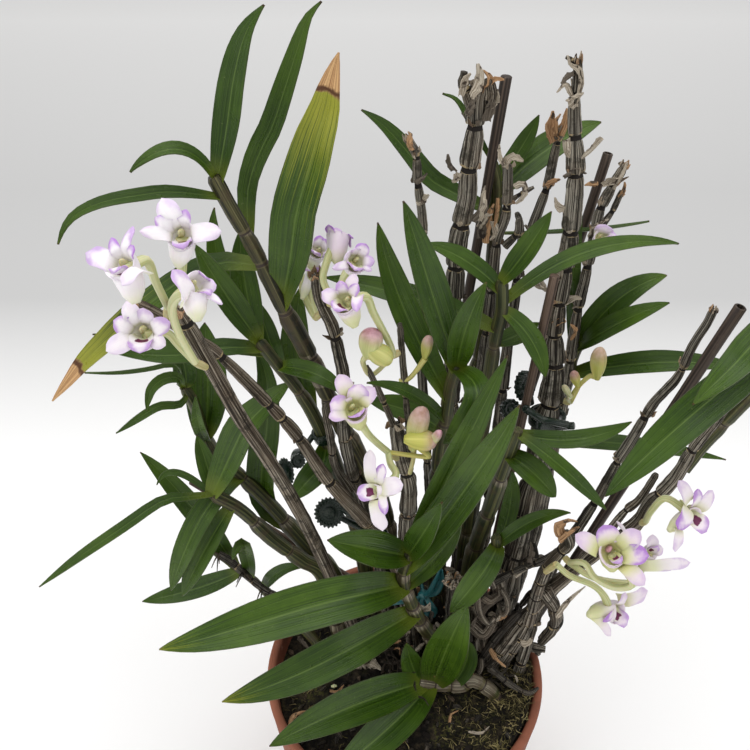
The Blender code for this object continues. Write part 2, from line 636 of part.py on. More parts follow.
# ---------------------------------------------------------------- leafy canes
def leafy_canes():
    """Living canes, from foot to tip, each with the leaves it carries."""
    leafy_cane("leafy_cane_upper_left", (9, 4), [
        (-9, 37, 105), (-9, 37, 122), (-10, 26, 203), (-28, 20, 264), (-41, 15, 307), (-49, 13, 329),
        (-56, 12, 350), (-61, 12, 362), (-65, 11, 372), (-69, 10, 383)], [
        (1.00, (-78, 2, 395), (-92, -4, 390), 5, 0),
        (0.97, (-89, -4, 382), (-117, -12, 369), 5, 10),
        (0.99, (-64, 14, 409), (-49, 20, 434), 9, 0),
        (0.91, (-57, 22, 396), (-32, 30, 433), 7.5, 0),
        (0.81, (-40, 6, 378), (-26, 8, 423), 15.5, 0),
        (0.87, (-91, 20, 338), (-147, 14, 285), 9, 10)])
    leafy_cane("leafy_cane_left_inner", (8, 4), [
        (-19, 44, 105), (-19, 44, 122), (-22, 38, 176), (-31, 30, 226), (-37, 24, 256), (-43, 22, 276),
        (-49, 20, 290), (-54, 18, 300), (-61, 18, 312)], [
        (1.00, (-71, 12, 338), (-78, 8, 359), 9.5, 0),
        (1.00, (-65, 26, 331), (-66, 30, 353), 10, 0),
        (0.99, (-75, 34, 330), (-76, 38, 359), 8, 0),
        (0.98, (-85, 6, 318), (-112, 0, 317), 7, 0),
        (0.93, (-39, 7, 304), (-26, 3, 297), 7.5, 0),
        (0.96, (-106, 26, 307), (-128, 24, 311), 3.5, 0),
        (0.66, (-46, 14, 242), (-52, 8, 235), 11, 0)])
    leafy_cane("leafy_cane_left_back", (8, 4), [
        (-32, 34, 105), (-32, 34, 122), (-37, 35, 153), (-52, 36, 178), (-70, 37, 208), (-80, 38, 221),
        (-87, 38, 230), (-93, 38, 242), (-95, 36, 262), (-96, 34, 271)], [
        (1.00, (-110, 28, 283), (-113, 22, 273), 5, 20),
        (1.00, (-97, 36, 281), (-98, 38, 293), 9.5, 0),
        (0.98, (-108, 24, 276), (-125, 16, 266), 4.5, 40),
        (0.83, (-93, 44, 268), (-89, 50, 300), 16.5, 0),
        (0.80, (-93, 30, 259), (-92, 28, 277), 5.5, 0),
        (0.67, (-97, 17, 216), (-113, 6, 176), 12.5, 0),
        (0.99, (-117, 30, 291), (-145, 24, 290), 2, 60)])
    leafy_cane("leafy_cane_left_low", (7.5, 5), [
        (-34, 20, 105), (-34, 20, 122), (-42, 26, 163), (-52, 26, 175), (-65, 25, 191), (-78, 22, 214),
        (-89, 18, 228)], [
        (1.00, (-72, 22, 263), (-50, 23, 288), 11.5, 0),
        (1.00, (-116, 2, 232), (-163, -14, 203), 6.5, 0),
        (0.91, (-95, 12, 198), (-108, 6, 172), 10.5, 0),
        (0.99, (-93, 26, 239), (-96, 30, 253), 9, 0),
        (0.99, (-104, 24, 235), (-114, 20, 231), 3.5, 30)])
    leafy_cane("shoot_left_rim", (5, 3), [
        (-45, 14, 105), (-45, 14, 122), (-73, 36, 137), (-88, 42, 149), (-101, 44, 162)], [
        (0.83, (-109, 46, 193), (-129, 48, 227), 11, 0),
        (0.79, (-111, 40, 136), (-141, 34, 132), 10.5, 0),
        (0.72, (-81, 30, 181), (-86, 24, 177), 7.5, 0),
        (0.63, (-63, 30, 162), (-50, 28, 167), 6.5, 0)])
    leafy_cane("leafy_cane_centre", (8, 4), [
        (18, 19, 105), (18, 19, 122), (13, 12, 218), (12, 6, 260), (13, 2, 284), (14, 0, 304),
        (16, 0, 313)], [
        (0.99, (4, -6, 349), (-6, -8, 382), 11.5, 0),
        (0.92, (-5, 8, 334), (-14, 8, 367), 10.5, 0),
        (0.99, (17, -10, 337), (22, -12, 355), 9.5, 0),
        (0.99, (21, -21, 313), (11, -15, 287), 9, 0),
        (0.86, (-2, -10, 307), (-18, -14, 315), 5.5, 0),
        (0.83, (-1, 12, 281), (-18, 14, 285), 10.5, 0)])
    leafy_cane("leafy_cane_centre_back", (8, 3.6), [
        (29, 28, 105), (29, 28, 122), (31, 26, 229), (31, 17, 283), (31, 12, 315), (32, 10, 331),
        (31, 10, 343)], [
        (0.98, (18, 14, 349), (3, 16, 355), 7.5, 0),
        (1.00, (38, 6, 358), (44, 4, 373), 8, 0),
        (0.91, (0, 18, 331), (-34, 22, 338), 9.5, 0),
        (0.95, (43, 6, 321), (50, 2, 306), 8, 0),
        (0.88, (42, 18, 315), (49, 20, 319), 7.5, 0),
        (0.96, (63, 21, 349), (101, 32, 347), 6.5, 0)])
    leafy_cane("leafy_cane_back", (7, 3.6), [
        (19, 52, 105), (19, 52, 122), (29, 46, 261), (32, 43, 316), (32, 42, 344), (31, 42, 365),
        (28, 42, 376)], [
        (0.92, (6, 48, 379), (-20, 51, 392), 8, 0),
        (1.00, (19, 42, 388), (9, 44, 400), 2.5, 0),
        (0.97, (41, 46, 378), (45, 48, 391), 6.5, 0),
        (0.95, (50, 52, 376), (71, 58, 385), 11.5, 0),
        (0.89, (67, 47, 345), (96, 54, 346), 3, 40)])
    leafy_cane("leafy_cane_right_back", (7, 3.6), [
        (46, 35, 105), (46, 35, 122), (66, 42, 194), (68, 42, 240), (71, 42, 276), (71, 42, 286),
        (73, 42, 295)], [
        (0.96, (66, 43, 323), (62, 34, 361), 5.5, 0),
        (0.99, (83, 34, 321), (101, 36, 331), 11, 0),
        (0.98, (83, 24, 317), (98, 20, 328), 9, 0),
        (0.91, (100, 24, 297), (131, 18, 299), 9.5, 0)])
    leafy_cane("leafy_cane_front", (7, 4), [
        (20, 1, 105), (20, 1, 122), (13, -6, 154), (6, -10, 174), (0, -14, 196), (-3, -17, 214),
        (-1, -20, 232)], [
        (0.98, (16, -24, 289), (29, -26, 335), 10, 0),
        (0.90, (19, -30, 279), (33, -36, 322), 13.5, 0),
        (0.79, (10, -14, 221), (20, -18, 246), 9.5, 0),
        (0.98, (4, -34, 260), (9, -40, 281), 10, 0),
        (0.98, (-19, -30, 246), (-33, -36, 257), 14, 0),
        (0.80, (-46, -36, 217), (-98, -58, 220), 19, 0),
        (0.61, (-34, -36, 187), (-77, -60, 188), 16.5, 0)])
    leafy_cane("creeping_shoot", (9, 5), [
        (45, -16, 105), (45, -16, 122), (34, -13, 131), (29, -13, 127), (22, -13, 127), (14, -13, 128),
        (6, -15, 133)], [
        (0.94, (-26, -42, 155), (-60, -62, 158), 16.5, 0),
        (0.87, (-9, -40, 134), (-35, -62, 134), 17, 0),
        (0.99, (2, -14, 149), (0, -12, 160), 10.5, 0),
        (0.85, (19, -18, 167), (26, -18, 196), 18.5, 0),
        (0.70, (30, -9, 142), (29, -7, 155), 10, 0)])
    leafy_cane("small_shoot_right", (5, 4), [
        (36.4, 2.9, 196.3), (39, -1, 213), (38, -3, 223)], [
        (0.74, (33, -12, 212), (19, -16, 188), 11, 0),
        (0.74, (52, -6, 236), (66, -10, 245), 6.5, 0),
        (0.74, (45, 10, 225), (44, 10, 250), 7.5, 0)])
    leafy_cane("leafy_cane_right_centre", (8, 4), [
        (29, 17, 105), (29, 17, 122), (32, 17, 185), (36, 4, 238), (38, -6, 273), (40, -8, 288)], [
        (0.92, (46, -14, 272), (56, -18, 262), 10, 0),
        (0.99, (55, -18, 279), (74, -26, 263), 6, 0),
        (0.99, (63, -8, 283), (83, -8, 292), 7, 0),
        (0.97, (89, 14, 262), (138, 16, 251), 7, 0)])
    leafy_cane("leafy_cane_far_right", (5, 4), [
        (107, -11, 270), (119, -5, 275), (125, -7, 296), (129, -9, 318), (129, -10, 340)], [
        (0.85, (92, -34, 316), (67, -40, 284), 14, 0),
        (0.93, (113, -14, 350), (107, -16, 365), 8, 0),
        (0.78, (119, -20, 317), (107, -24, 304), 7.5, 0),
        (0.92, (147, 10, 335), (165, 20, 334), 9, 0)])


# ---------------------------------------------------------------- stakes
def stakes():
    """Bamboo and wooden sticks."""
    stake("stake_back_tall", 4, (8, 55, 105), (30, 36, 408))
    stake("stake_back_right", 4, (33, 49, 105), (75, 54, 374))
    stake("stake_brown_front", 3.6, (38, 24, 105), (50, 10, 345))
    stake("stake_right", 4.4, (57, 16, 105), (111, -8, 343))
    stake("stake_left_low", 4, (-6, 54, 105), (-103, 36, 219))


# ---------------------------------------------------------------- sprays
def sprays():
    """Every flower cluster, beside the cane it grew from."""
    spray("flowers_left_upper", (-86.1, -11.9, 341.6), (-84, -16, 347.9),
          flowers=[
              ((-72, -31, 381), (0.3, -0.7, 0.7), (-0.1, 0.2, 1), 29, [
               (-72, -29, 379), (-73, -29, 368), (-77, -22, 357), (-84, -16, 347.9)]),
              ((-85, -50, 383), (-0.2, -0.5, 0.8), (0.2, 0.3, 1), 27, [
               (-85, -49, 381), (-85, -32, 373), (-84, -26, 365), (-84, -16, 347.9)])])
    spray("flowers_left_lower", (-72.8, -22.7, 328.1), (-74.6, -28, 333.9),
          flowers=[
              ((-62, -56, 378), (0.6, 0.1, 0.8), (-0.6, 0, 0.8), 25, [
               (-63, -56, 376), (-70, -46, 370), (-75, -41, 361), (-75, -35, 345),
               (-74.6, -28, 333.9)]),
              ((-89, -33, 350), (0.4, -0.9, 0.3), (-0.1, 0.3, 1), 28, [
               (-90, -31, 350), (-83, -29, 341), (-78, -31, 340), (-74.6, -28, 333.9)])])
    spray("flowers_middle_back_right", (-31.9, 4.8, 336.8), (-29.4, 3.4, 337.5),
          flowers=[
              ((-26, 8, 361), (0.4, 0.8, 0.5), (0.3, 0.2, 1), 26, [
               (-27, 6, 360), (-28, 3, 355), (-30, 4, 346), (-29.4, 3.4, 337.5)]),
              ((-21, -3, 360), (0.3, -0.8, 0.5), (0.2, 0.2, 1), 26, [
               (-22, -1, 359), (-24, -2, 353), (-27, 2, 346), (-29.4, 3.4, 337.5)])])
    spray("flowers_middle_back_left", (-35.3, 8.9, 330.3), (-37.3, 12, 326.1),
          flowers=[
              ((-39, 22, 350), (0.3, -0.5, 0.8), (-0.1, 0.2, 1), 23, [
               (-40, 23, 349), (-39, 22, 342), (-39, 18, 332), (-37.3, 12, 326.1)]),
              ((-41, 24, 336), (-0.1, -0.2, 1), (-0.3, 0.2, 1), 17, [
               (-41, 24, 334), (-40, 20, 329), (-37.3, 12, 326.1)])])
    spray("flower_front_middle", (-6.4, -0.5, 319), (-8.4, -2.8, 319),
          flowers=[
              ((-25, -24, 356), (-0.1, -0.8, 0.6), (0.3, 0.3, 1), 27, [
               (-25, -22, 355), (-20, -8, 346), (-16, -6, 339), (-8.4, -2.8, 319)])],
          buds=[
              ((-18, -10, 323), (-13, -12, 335), 8.6, [
               (-17, -10, 325), (-15, -9, 319), (-11, -6, 321), (-8.4, -2.8, 319)])])
    spray("flowers_centre", (-6.5, -9.1, 274.4), (-10, -15, 282.8),
          flowers=[
              ((-24, -24, 314), (0, -0.6, 0.8), (-0.3, 0.4, 0.9), 25, [
               (-24, -23, 312), (-18, -20, 297), (-10, -15, 282.8)]),
              ((-13, -30, 277), (-0.7, -0.5, 0.5), (1, -0.1, 0.2), 32, [
               (-11, -29, 276), (-7, -20, 269), (-8, -17, 274), (-10, -15, 282.8)])],
          buds=[
              ((-2, -16, 288), (2, -18, 304), 9.4, [
               (-2, -16, 291), (-2, -15, 284), (-10, -15, 282.8)]),
              ((2, -20, 290), (8, -20, 297), 7.4, [
               (3, -20, 291), (1, -18, 285), (-5, -16, 283), (-10, -15, 282.8)])])
    spray("flowers_right_low", (64.8, -17.1, 225.9), (66.5, -19.4, 225),
          flowers=[
              ((76, -36, 250), (-0.2, -0.8, 0.6), (-0.5, 0.6, 0.7), 33, [
               (77, -34, 248), (89, -30, 226), (80, -26, 221), (72, -22, 228), (66.5, -19.4, 225)]),
              ((97, -28, 239), (0.7, -0.4, 0.6), (-0.2, 0.6, 0.8), 27, [
               (96, -27, 238), (91, -26, 231), (89, -30, 224), (66.5, -19.4, 225)])])
    spray("flower_right_lowest", (58.2, -16.9, 216.5), (59.2, -25, 230.7),
          flowers=[
              ((85, -28, 208), (0.3, -0.9, 0.3), (0.6, 0.3, 0.8), 27, [
               (84, -26, 207), (78, -27, 214), (68, -26, 223), (59.2, -25, 230.7)])])
    spray("flower_right_end", (94.2, -15.3, 244.4), (94.4, -18, 248.5),
          flowers=[
              ((104, -30, 266), (0.3, -0.8, 0.5), (0.1, 0.5, 0.9), 29, [
               (103, -28, 265), (98, -27, 269), (94, -23, 266), (94.4, -18, 248.5)])])
    spray("flower_back", (72.1, 41.7, 347.6), (72.3, 38.8, 348.3),
          flowers=[
              ((75, 36, 347), (0, -0.7, 0.7), (-0.1, 0.2, 1), 20, [
               (74, 37, 346), (74, 40, 346), (72.3, 38.8, 348.3)])])
    spray("buds_on_tall_cane", (63.7, 19.2, 281), (66.4, 18, 281),
          buds=[
              ((73, 14, 300), (73, 14, 309), 6.4, [
               (73, 14, 301), (72, 15, 298), (69, 17, 290), (66.4, 18, 281)]),
              ((67, 17, 293), (63, 16, 300), 3.7, [
               (66, 17, 294), (68, 17, 289), (66.4, 18, 281)])])


# ---------------------------------------------------------------- clips and tie
def grip_on(name, height):
    """Centre, direction and radius of a cane at a height."""
    curve, widths = CURVES[name]
    best = min(range(1, len(curve) - 1), key=lambda i: abs(curve[i].z - height))
    f = length_of(curve[:best + 1]) / length_of(curve)
    return curve[best], (curve[best + 1] - curve[best - 1]).normalized(), width_at(widths, f) / 2


def clip(name, cane_name, height, band, jaw, parts, colour):
    """Spring clip: a band round the cane, with toothed grips and arms fused to it."""
    centre, axis, radius = grip_on(cane_name, height)
    made = solid(name, ring(centre, axis, radius + 0.45, radius + 0.45 + jaw, band))
    combine(made, parts, 'UNION')
    return finish(made, colour, 0.35)


def clips():
    """Green plastic orchid clips on three of the canes."""
    clip("clip_tall_cane", "old_canes_right", 272, 7, 1.8, [
        rod((60, 12, 273), (67, 9, 276), 1.6),
        rod((52, 27, 273), (50, 28, 281), 1.8),
        toothed_disc((49, 28, 283), (0.35, -0.75, 0.55), 6.4, 3, 10),
        rod((50, 25, 272), (45, 26, 269), 1.8),
        toothed_disc((44, 26, 269), (0.8, -0.5, 0.3), 4.8, 3, 9)], (0.03, 0.05, 0.03))
    clip("clip_left_jointed", "old_cane_left_jointed", 205, 6, 1.4, [
        rod((-17, 14, 207), (-32, 18, 214), 1.5),
        toothed_disc((-33, 18, 215), (0.1, -0.75, 0.65), 9.5, 3, 12)], (0.02, 0.04, 0.03))
    clip("clip_left_inner", "leafy_cane_left_inner", 259, 5, 1.4, [
        rod((-42, 23, 259), (-49, 20, 249), 1.3),
        rod((-49, 22, 249), (-49, 17, 251), 3.0, 8),
        rod((-49, 20, 249), (-54, 21, 240), 1.3),
        toothed_disc((-55, 21, 237), (0.3, -0.7, 0.6), 3.6, 3, 12, 2.0)], (0.05, 0.10, 0.07))


def tie():
    """Blue-green plastic tie knotted round one cane."""
    centre, axis, radius = grip_on("old_cane_mid_brown", 178)
    made = solid("tie_mid_brown", ring(centre, axis, radius + 0.45, radius + 2.0, 3))
    knot = centre + Vector((7.5, -3.5, 0))
    combine(made, [
        rod(knot + Vector((-2.5, 0, 0)), knot + Vector((2.5, 0.5, 0.5)), 2.6, 5),
        tube([knot, knot + Vector((4, -1, 10)), knot + Vector((7, -1, 20))], [1.0, 1.5, 0.8], 4),
        tube([knot, knot + Vector((6, 0, 6)), knot + Vector((7.6, -1, 19))], [1.0, 1.2, 0.8], 4),
        tube([knot, knot + Vector((1.5, -1, -8)), knot + Vector((3, -2, -18))], [1.2, 1.4, 0.7], 4),
        tube([centre + Vector((-3, -6.4, 0)), centre + Vector((-7, -8, 2)),
              centre + Vector((-13, -9, -1))], [1.4, 1.2, 0.9], 4)], 'UNION')
    return finish(made, (0.05, 0.16, 0.16), 0.4)


# ---------------------------------------------------------------- loose bits on the mix
def resting(name, root, middle, tip, width, colour):
    """Dry scrap lying on the mix: the three points are (x, y, height above its seat)."""
    spots = [Vector((x, y, soil_height(x, y) + h + SCRAP_SEAT)) for x, y, h in (root, middle, tip)]
    shape = blade(spots[0], spots[1], spots[2], width, 0, thick=1.0, fold=0.3,
                  face=Vector((0, 0, 1)))
    return finish(solid(name, shape), colour, 0.8)


def loose_bits():
    """A curled dead leaf by the front rim and a papery bract in front of the canes."""
    resting("dead_leaf", (-38, -46, -0.8), (-30, -47, 0.2), (-22, -44, 3.2), 8, (0.45, 0.33, 0.18))
    resting("papery_bract", (-14, -17, 0.3), (-7, -18, 1.8), (2, -16, 0.8), 7, (0.62, 0.58, 0.50))


# ---------------------------------------------------------------- build
clear_scene()
old_canes()
leafy_canes()
stakes()
sprays()
clips()
tie()
pot()
soil()
loose_bits()
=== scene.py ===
import random
from math import atan2, cos, exp, hypot, pi, radians, sin, sqrt

import bpy
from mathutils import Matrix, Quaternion, Vector, noise


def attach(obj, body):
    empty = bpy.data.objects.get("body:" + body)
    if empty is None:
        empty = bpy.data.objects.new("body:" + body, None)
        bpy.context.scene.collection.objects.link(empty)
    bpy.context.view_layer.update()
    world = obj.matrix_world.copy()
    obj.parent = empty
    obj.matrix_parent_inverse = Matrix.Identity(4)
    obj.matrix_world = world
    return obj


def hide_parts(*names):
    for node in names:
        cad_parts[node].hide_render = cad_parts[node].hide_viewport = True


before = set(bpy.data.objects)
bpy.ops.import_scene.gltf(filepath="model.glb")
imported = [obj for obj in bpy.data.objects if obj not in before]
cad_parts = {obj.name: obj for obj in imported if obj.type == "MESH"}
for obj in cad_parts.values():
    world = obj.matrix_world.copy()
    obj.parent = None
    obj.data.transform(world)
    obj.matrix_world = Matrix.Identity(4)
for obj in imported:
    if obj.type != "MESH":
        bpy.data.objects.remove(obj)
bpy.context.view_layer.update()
bpy.ops.object.select_all(action='DESELECT')

# ---------------------------------------------------------------- camera
# The plant is looked at from a little above its tallest cane, close by, with the pot's
# lower half outside the picture.
bpy.ops.object.camera_add(location=(-0.015, -0.246, 0.487), rotation=(radians(54), 0, 0))
camera = bpy.context.object
camera.name = "viewing_camera"
camera.data.sensor_width = 36.0
camera.data.lens = 38.6
camera.data.clip_start = 0.01
bpy.context.scene.camera = camera
bpy.context.scene.view_settings.view_transform = 'Standard'


# ---------------------------------------------------------------- studio
# A plain pale floor that turns greyer well behind the pot, in a band of painted shade that stands in for a
# dimmer backdrop, under a big soft panel, with weaker panels at both sides and pale light all round.
def put(tree, kind, ins=None, **settings):
    """A node with its settings, its sockets linked to other sockets or given values."""
    made = tree.nodes.new(kind)
    for key, value in settings.items():
        setattr(made, key, value)
    for key, value in (ins or {}).items():
        if isinstance(value, bpy.types.NodeSocket):
            tree.links.new(value, made.inputs[key])
        else:
            made.inputs[key].default_value = value
    return made


def mixed(tree, factor, first, second):
    """Colour that goes from the first to the second as the factor rises."""
    made = put(tree, "ShaderNodeMix", {0: factor, 6: first, 7: second}, data_type='RGBA')
    return made.outputs[2]


def maths(tree, operation, first, second=0.0, clamp=False):
    made = put(tree, "ShaderNodeMath", {0: first, 1: second}, operation=operation, use_clamp=clamp)
    return made.outputs[0]


def times(tree, first, second):
    return maths(tree, 'MULTIPLY', first, second)


def plus(tree, first, second):
    return maths(tree, 'ADD', first, second)


def swing(tree, value, amount):
    """How far a value of 0 to 1 is from its middle, times an amount."""
    return times(tree, maths(tree, 'SUBTRACT', value, 0.5), amount)


def rising(tree, value, low, high):
    """0 below low and 1 above high, smoothly between."""
    made = put(tree, "ShaderNodeMapRange", {"Value": value, "From Min": low, "From Max": high},
               interpolation_type='SMOOTHSTEP')
    return made.outputs[0]


def settle():
    """Puts the active piece's place, turn and size into its mesh."""
    bpy.ops.object.transform_apply(location=True, rotation=True, scale=True)


bpy.ops.mesh.primitive_plane_add(size=12.0, location=(0, 2.0, 0))
floor = bpy.context.object
floor.name = "studio_floor"
settle()
floor_paint = bpy.data.materials.new("floor_paint")
floor_paint.use_nodes = True
tree = floor_paint.node_tree
shader = tree.nodes["Principled BSDF"]
place = put(tree, "ShaderNodeTexCoord").outputs["Object"]
depth = put(tree, "ShaderNodeSeparateXYZ", {0: place}).outputs["Y"]
RAMP_SHARE = 0.4
ramp = put(tree, "ShaderNodeValToRGB", {0: times(tree, depth, RAMP_SHARE)})
ramp.color_ramp.elements.new(0.5)
ramp.color_ramp.elements.new(0.5)
# The grey stops are painted shade: darker floor well behind the pot stands in for a dimmer backdrop.
greys = ((0.29, 0.93), (0.58, 0.58), (0.90, 0.62), (2.0, 0.96))
for element, (metres_back, grey) in zip(ramp.color_ramp.elements, greys):
    element.position = metres_back * RAMP_SHARE
    element.color = (grey, grey, grey, 1)
tree.links.new(ramp.outputs[0], shader.inputs["Base Color"])
shader.inputs["Roughness"].default_value = 0.9
shader.inputs["Specular IOR Level"].default_value = 0.1
floor.data.materials.append(floor_paint)

for name, place, turn, size, power in (
        ("top_panel", (0.0, 0.1, 1.7), (-3, 0, 0), 1.8, 17.0),
        ("left_panel", (-1.4, -0.9, 1.0), (60, 0, -58), 1.2, 7.0),
        ("right_panel", (1.4, -0.7, 1.0), (60, 0, 62), 1.2, 4.5)):
    bpy.ops.object.light_add(type='AREA', location=place,
                             rotation=[radians(angle) for angle in turn])
    panel = bpy.context.object
    panel.name = name
    panel.data.size = size
    panel.data.energy = power
world = bpy.data.worlds.new("studio_air")
world.use_nodes = True
world.node_tree.nodes["Background"].inputs["Color"].default_value = (1.0, 0.995, 0.985, 1)
world.node_tree.nodes["Background"].inputs["Strength"].default_value = 0.62
bpy.context.scene.world = world
bpy.ops.object.select_all(action='DESELECT')


# ---------------------------------------------------------------- old bare canes
# Leafless canes of earlier years: dry, shrunken and ribbed, with a dark band and a pale
# torn sheath edge at every node. Each is one dead stem that stands in the mix by its foot.
MM = 0.001
FOOT, SURFACE = 105, 122
chance = random.Random(7)
between = chance.uniform


def smooth_route(points, per_span=12):
    """Catmull-Rom curve through the design points."""
    pts = [Vector(p) for p in points]
    ends = [2 * pts[0] - pts[1]] + pts + [2 * pts[-1] - pts[-2]]
    curve = []
    for i in range(1, len(ends) - 2):
        a, b, c, d = ends[i - 1:i + 3]
        for k in range(per_span):
            t = k / per_span
            curve.append(0.5 * (2 * b + (c - a) * t + (2 * a - 5 * b + 4 * c - d) * t * t
                                + (3 * b - a - 3 * c + d) * t ** 3))
    curve.append(pts[-1])
    return curve


def length_of(curve):
    return sum((b - a).length for a, b in zip(curve, curve[1:]))


def along(curve, fractions):
    """Points of a polyline at rising fractions of its length."""
    reach = [0.0]
    for a, b in zip(curve, curve[1:]):
        reach.append(reach[-1] + (b - a).length)
    found = []
    i = 1
    for f in fractions:
        want = f * reach[-1]
        while i < len(reach) - 1 and reach[i] < want:
            i += 1
        step = max(reach[i] - reach[i - 1], 1e-6)
        found.append(curve[i - 1].lerp(curve[i], (want - reach[i - 1]) / step))
    return found


def width_at(widths, f):
    """Diameter at a fraction of the length, from diameters evenly spaced foot to tip."""
    spot = min(max(f, 0.0), 1.0) * (len(widths) - 1)
    i = min(int(spot), len(widths) - 2)
    return widths[i] + (widths[i + 1] - widths[i]) * (spot - i)


def eased(x):
    x = min(max(x, 0.0), 1.0)
    return x * x * (3 - 2 * x)


def from_foot(route):
    """Route whose first point may be only its place (x, y): it then rises out of the mix."""
    if len(route[0]) == 3:
        return route
    x, y = route[0]
    return [(x, y, FOOT), (x, y, SURFACE)] + route[1:]


def new_growth():
    """An empty skin: corners in mm with their tints, and faces with materials and UVs."""
    return {"corners": [], "tints": [], "faces": [], "kinds": [], "uvs": []}


def add_corner(growth, place, tint):
    growth["corners"].append(place)
    growth["tints"].append(tint)
    return len(growth["corners"]) - 1


def add_face(growth, corners, kind, uvs):
    growth["faces"].append(tuple(corners))
    growth["kinds"].append(kind)
    growth["uvs"].append(tuple(uvs))


def add_skin(growth, rings, steps, tints, kind):
    """Closed skin over rings of corners: u runs round it, v is each ring's own step."""
    sides = len(rings[0])
    start = len(growth["corners"])
    for ring, tint in zip(rings, tints):
        for corner in ring:
            add_corner(growth, corner, tint)
    for i in range(len(rings) - 1):
        low = start + i * sides
        for k in range(sides):
            n = (k + 1) % sides
            u = k / sides
            w = (k + 1) / sides
            add_face(growth, (low + k, low + n, low + sides + n, low + sides + k), kind,
                     ((u, steps[i]), (w, steps[i]), (w, steps[i + 1]), (u, steps[i + 1])))
    for i, outward in ((0, False), (len(rings) - 1, True)):
        top = add_corner(growth, sum(rings[i], Vector()) / sides, tints[i])
        for k in range(sides):
            a = start + i * sides + k
            b = start + i * sides + (k + 1) % sides
            corners = (a, b, top) if outward else (b, a, top)
            u = k / sides
            w = (k + 1) / sides
            marks = ((u, steps[i]), (w, steps[i]), (u, steps[i]))
            add_face(growth, corners, kind, marks if outward else (marks[1], marks[0], marks[2]))


def hoops(spine, sides, radius_at):
    """Rings of corners round a spine, with radius_at(i, angle) as the reach of each corner."""
    rings = []
    tangent = (spine[1] - spine[0]).normalized()
    side = tangent.orthogonal().normalized()
    for i, centre in enumerate(spine):
        before = spine[max(i - 1, 0)]
        after = spine[min(i + 1, len(spine) - 1)]
        turned = (after - before).normalized()
        side = tangent.rotation_difference(turned) @ side
        side = (side - turned * side.dot(turned)).normalized()
        tangent = turned
        other = tangent.cross(side)
        ring = []
        for k in range(sides):
            a = 2 * pi * k / sides
            ring.append(centre + (side * cos(a) + other * sin(a)) * radius_at(i, a))
        rings.append(ring)
    return rings


def add_sheet(growth, rows, thick, tint, kind):
    """Thin closed sheet over rows of corners, v along the rows and u across them."""
    count = len(rows[0])
    last = len(rows) - 1
    start = len(growth["corners"])
    under = []
    for i, row in enumerate(rows):
        below = rows[max(i - 1, 0)]
        above = rows[min(i + 1, last)]
        for k, corner in enumerate(row):
            across = row[min(k + 1, count - 1)] - row[max(k - 1, 0)]
            normal = across.cross(above[k] - below[k])
            if normal.length > 1e-9:
                normal.normalize()
            s = 2 * k / (count - 1) - 1
            depth = thick * (1 - 0.55 * s * s)
            under.append(corner - normal * depth)
            add_corner(growth, corner, (tint[0], tint[1], tint[2], 0.0))
    for corner in under:
        add_corner(growth, corner, (tint[0], tint[1], tint[2], 1.0))
    back = start + (last + 1) * count
    for i in range(last):
        for k in range(count - 1):
            a = start + i * count + k
            b = back + i * count + k
            marks = [((k + x) / (count - 1), (i + y) / last) for x, y in ((0, 0), (1, 0), (1, 1), (0, 1))]
            add_face(growth, (a, a + 1, a + count + 1, a + count), kind, marks)
            add_face(growth, (b, b + count, b + count + 1, b + 1), kind,
                     (marks[0], marks[3], marks[2], marks[1]))
        a = start + i * count
        b = back + i * count
        low = i / last
        high = (i + 1) / last
        add_face(growth, (a, a + count, b + count, b), kind, ((0, low), (0, high), (0, high), (0, low)))
        a += count - 1
        b += count - 1
        add_face(growth, (a, b, b + count, a + count), kind, ((1, low), (1, low), (1, high), (1, high)))
    for k in range(count - 1):
        u = k / (count - 1)
        w = (k + 1) / (count - 1)
        a = start + k
        b = back + k
        add_face(growth, (a, b, b + 1, a + 1), kind, ((u, 0), (u, 0), (w, 0), (w, 0)))
        a += last * count
        b += last * count
        add_face(growth, (a, a + 1, b + 1, b), kind, ((u, 1), (w, 1), (w, 1), (u, 1)))


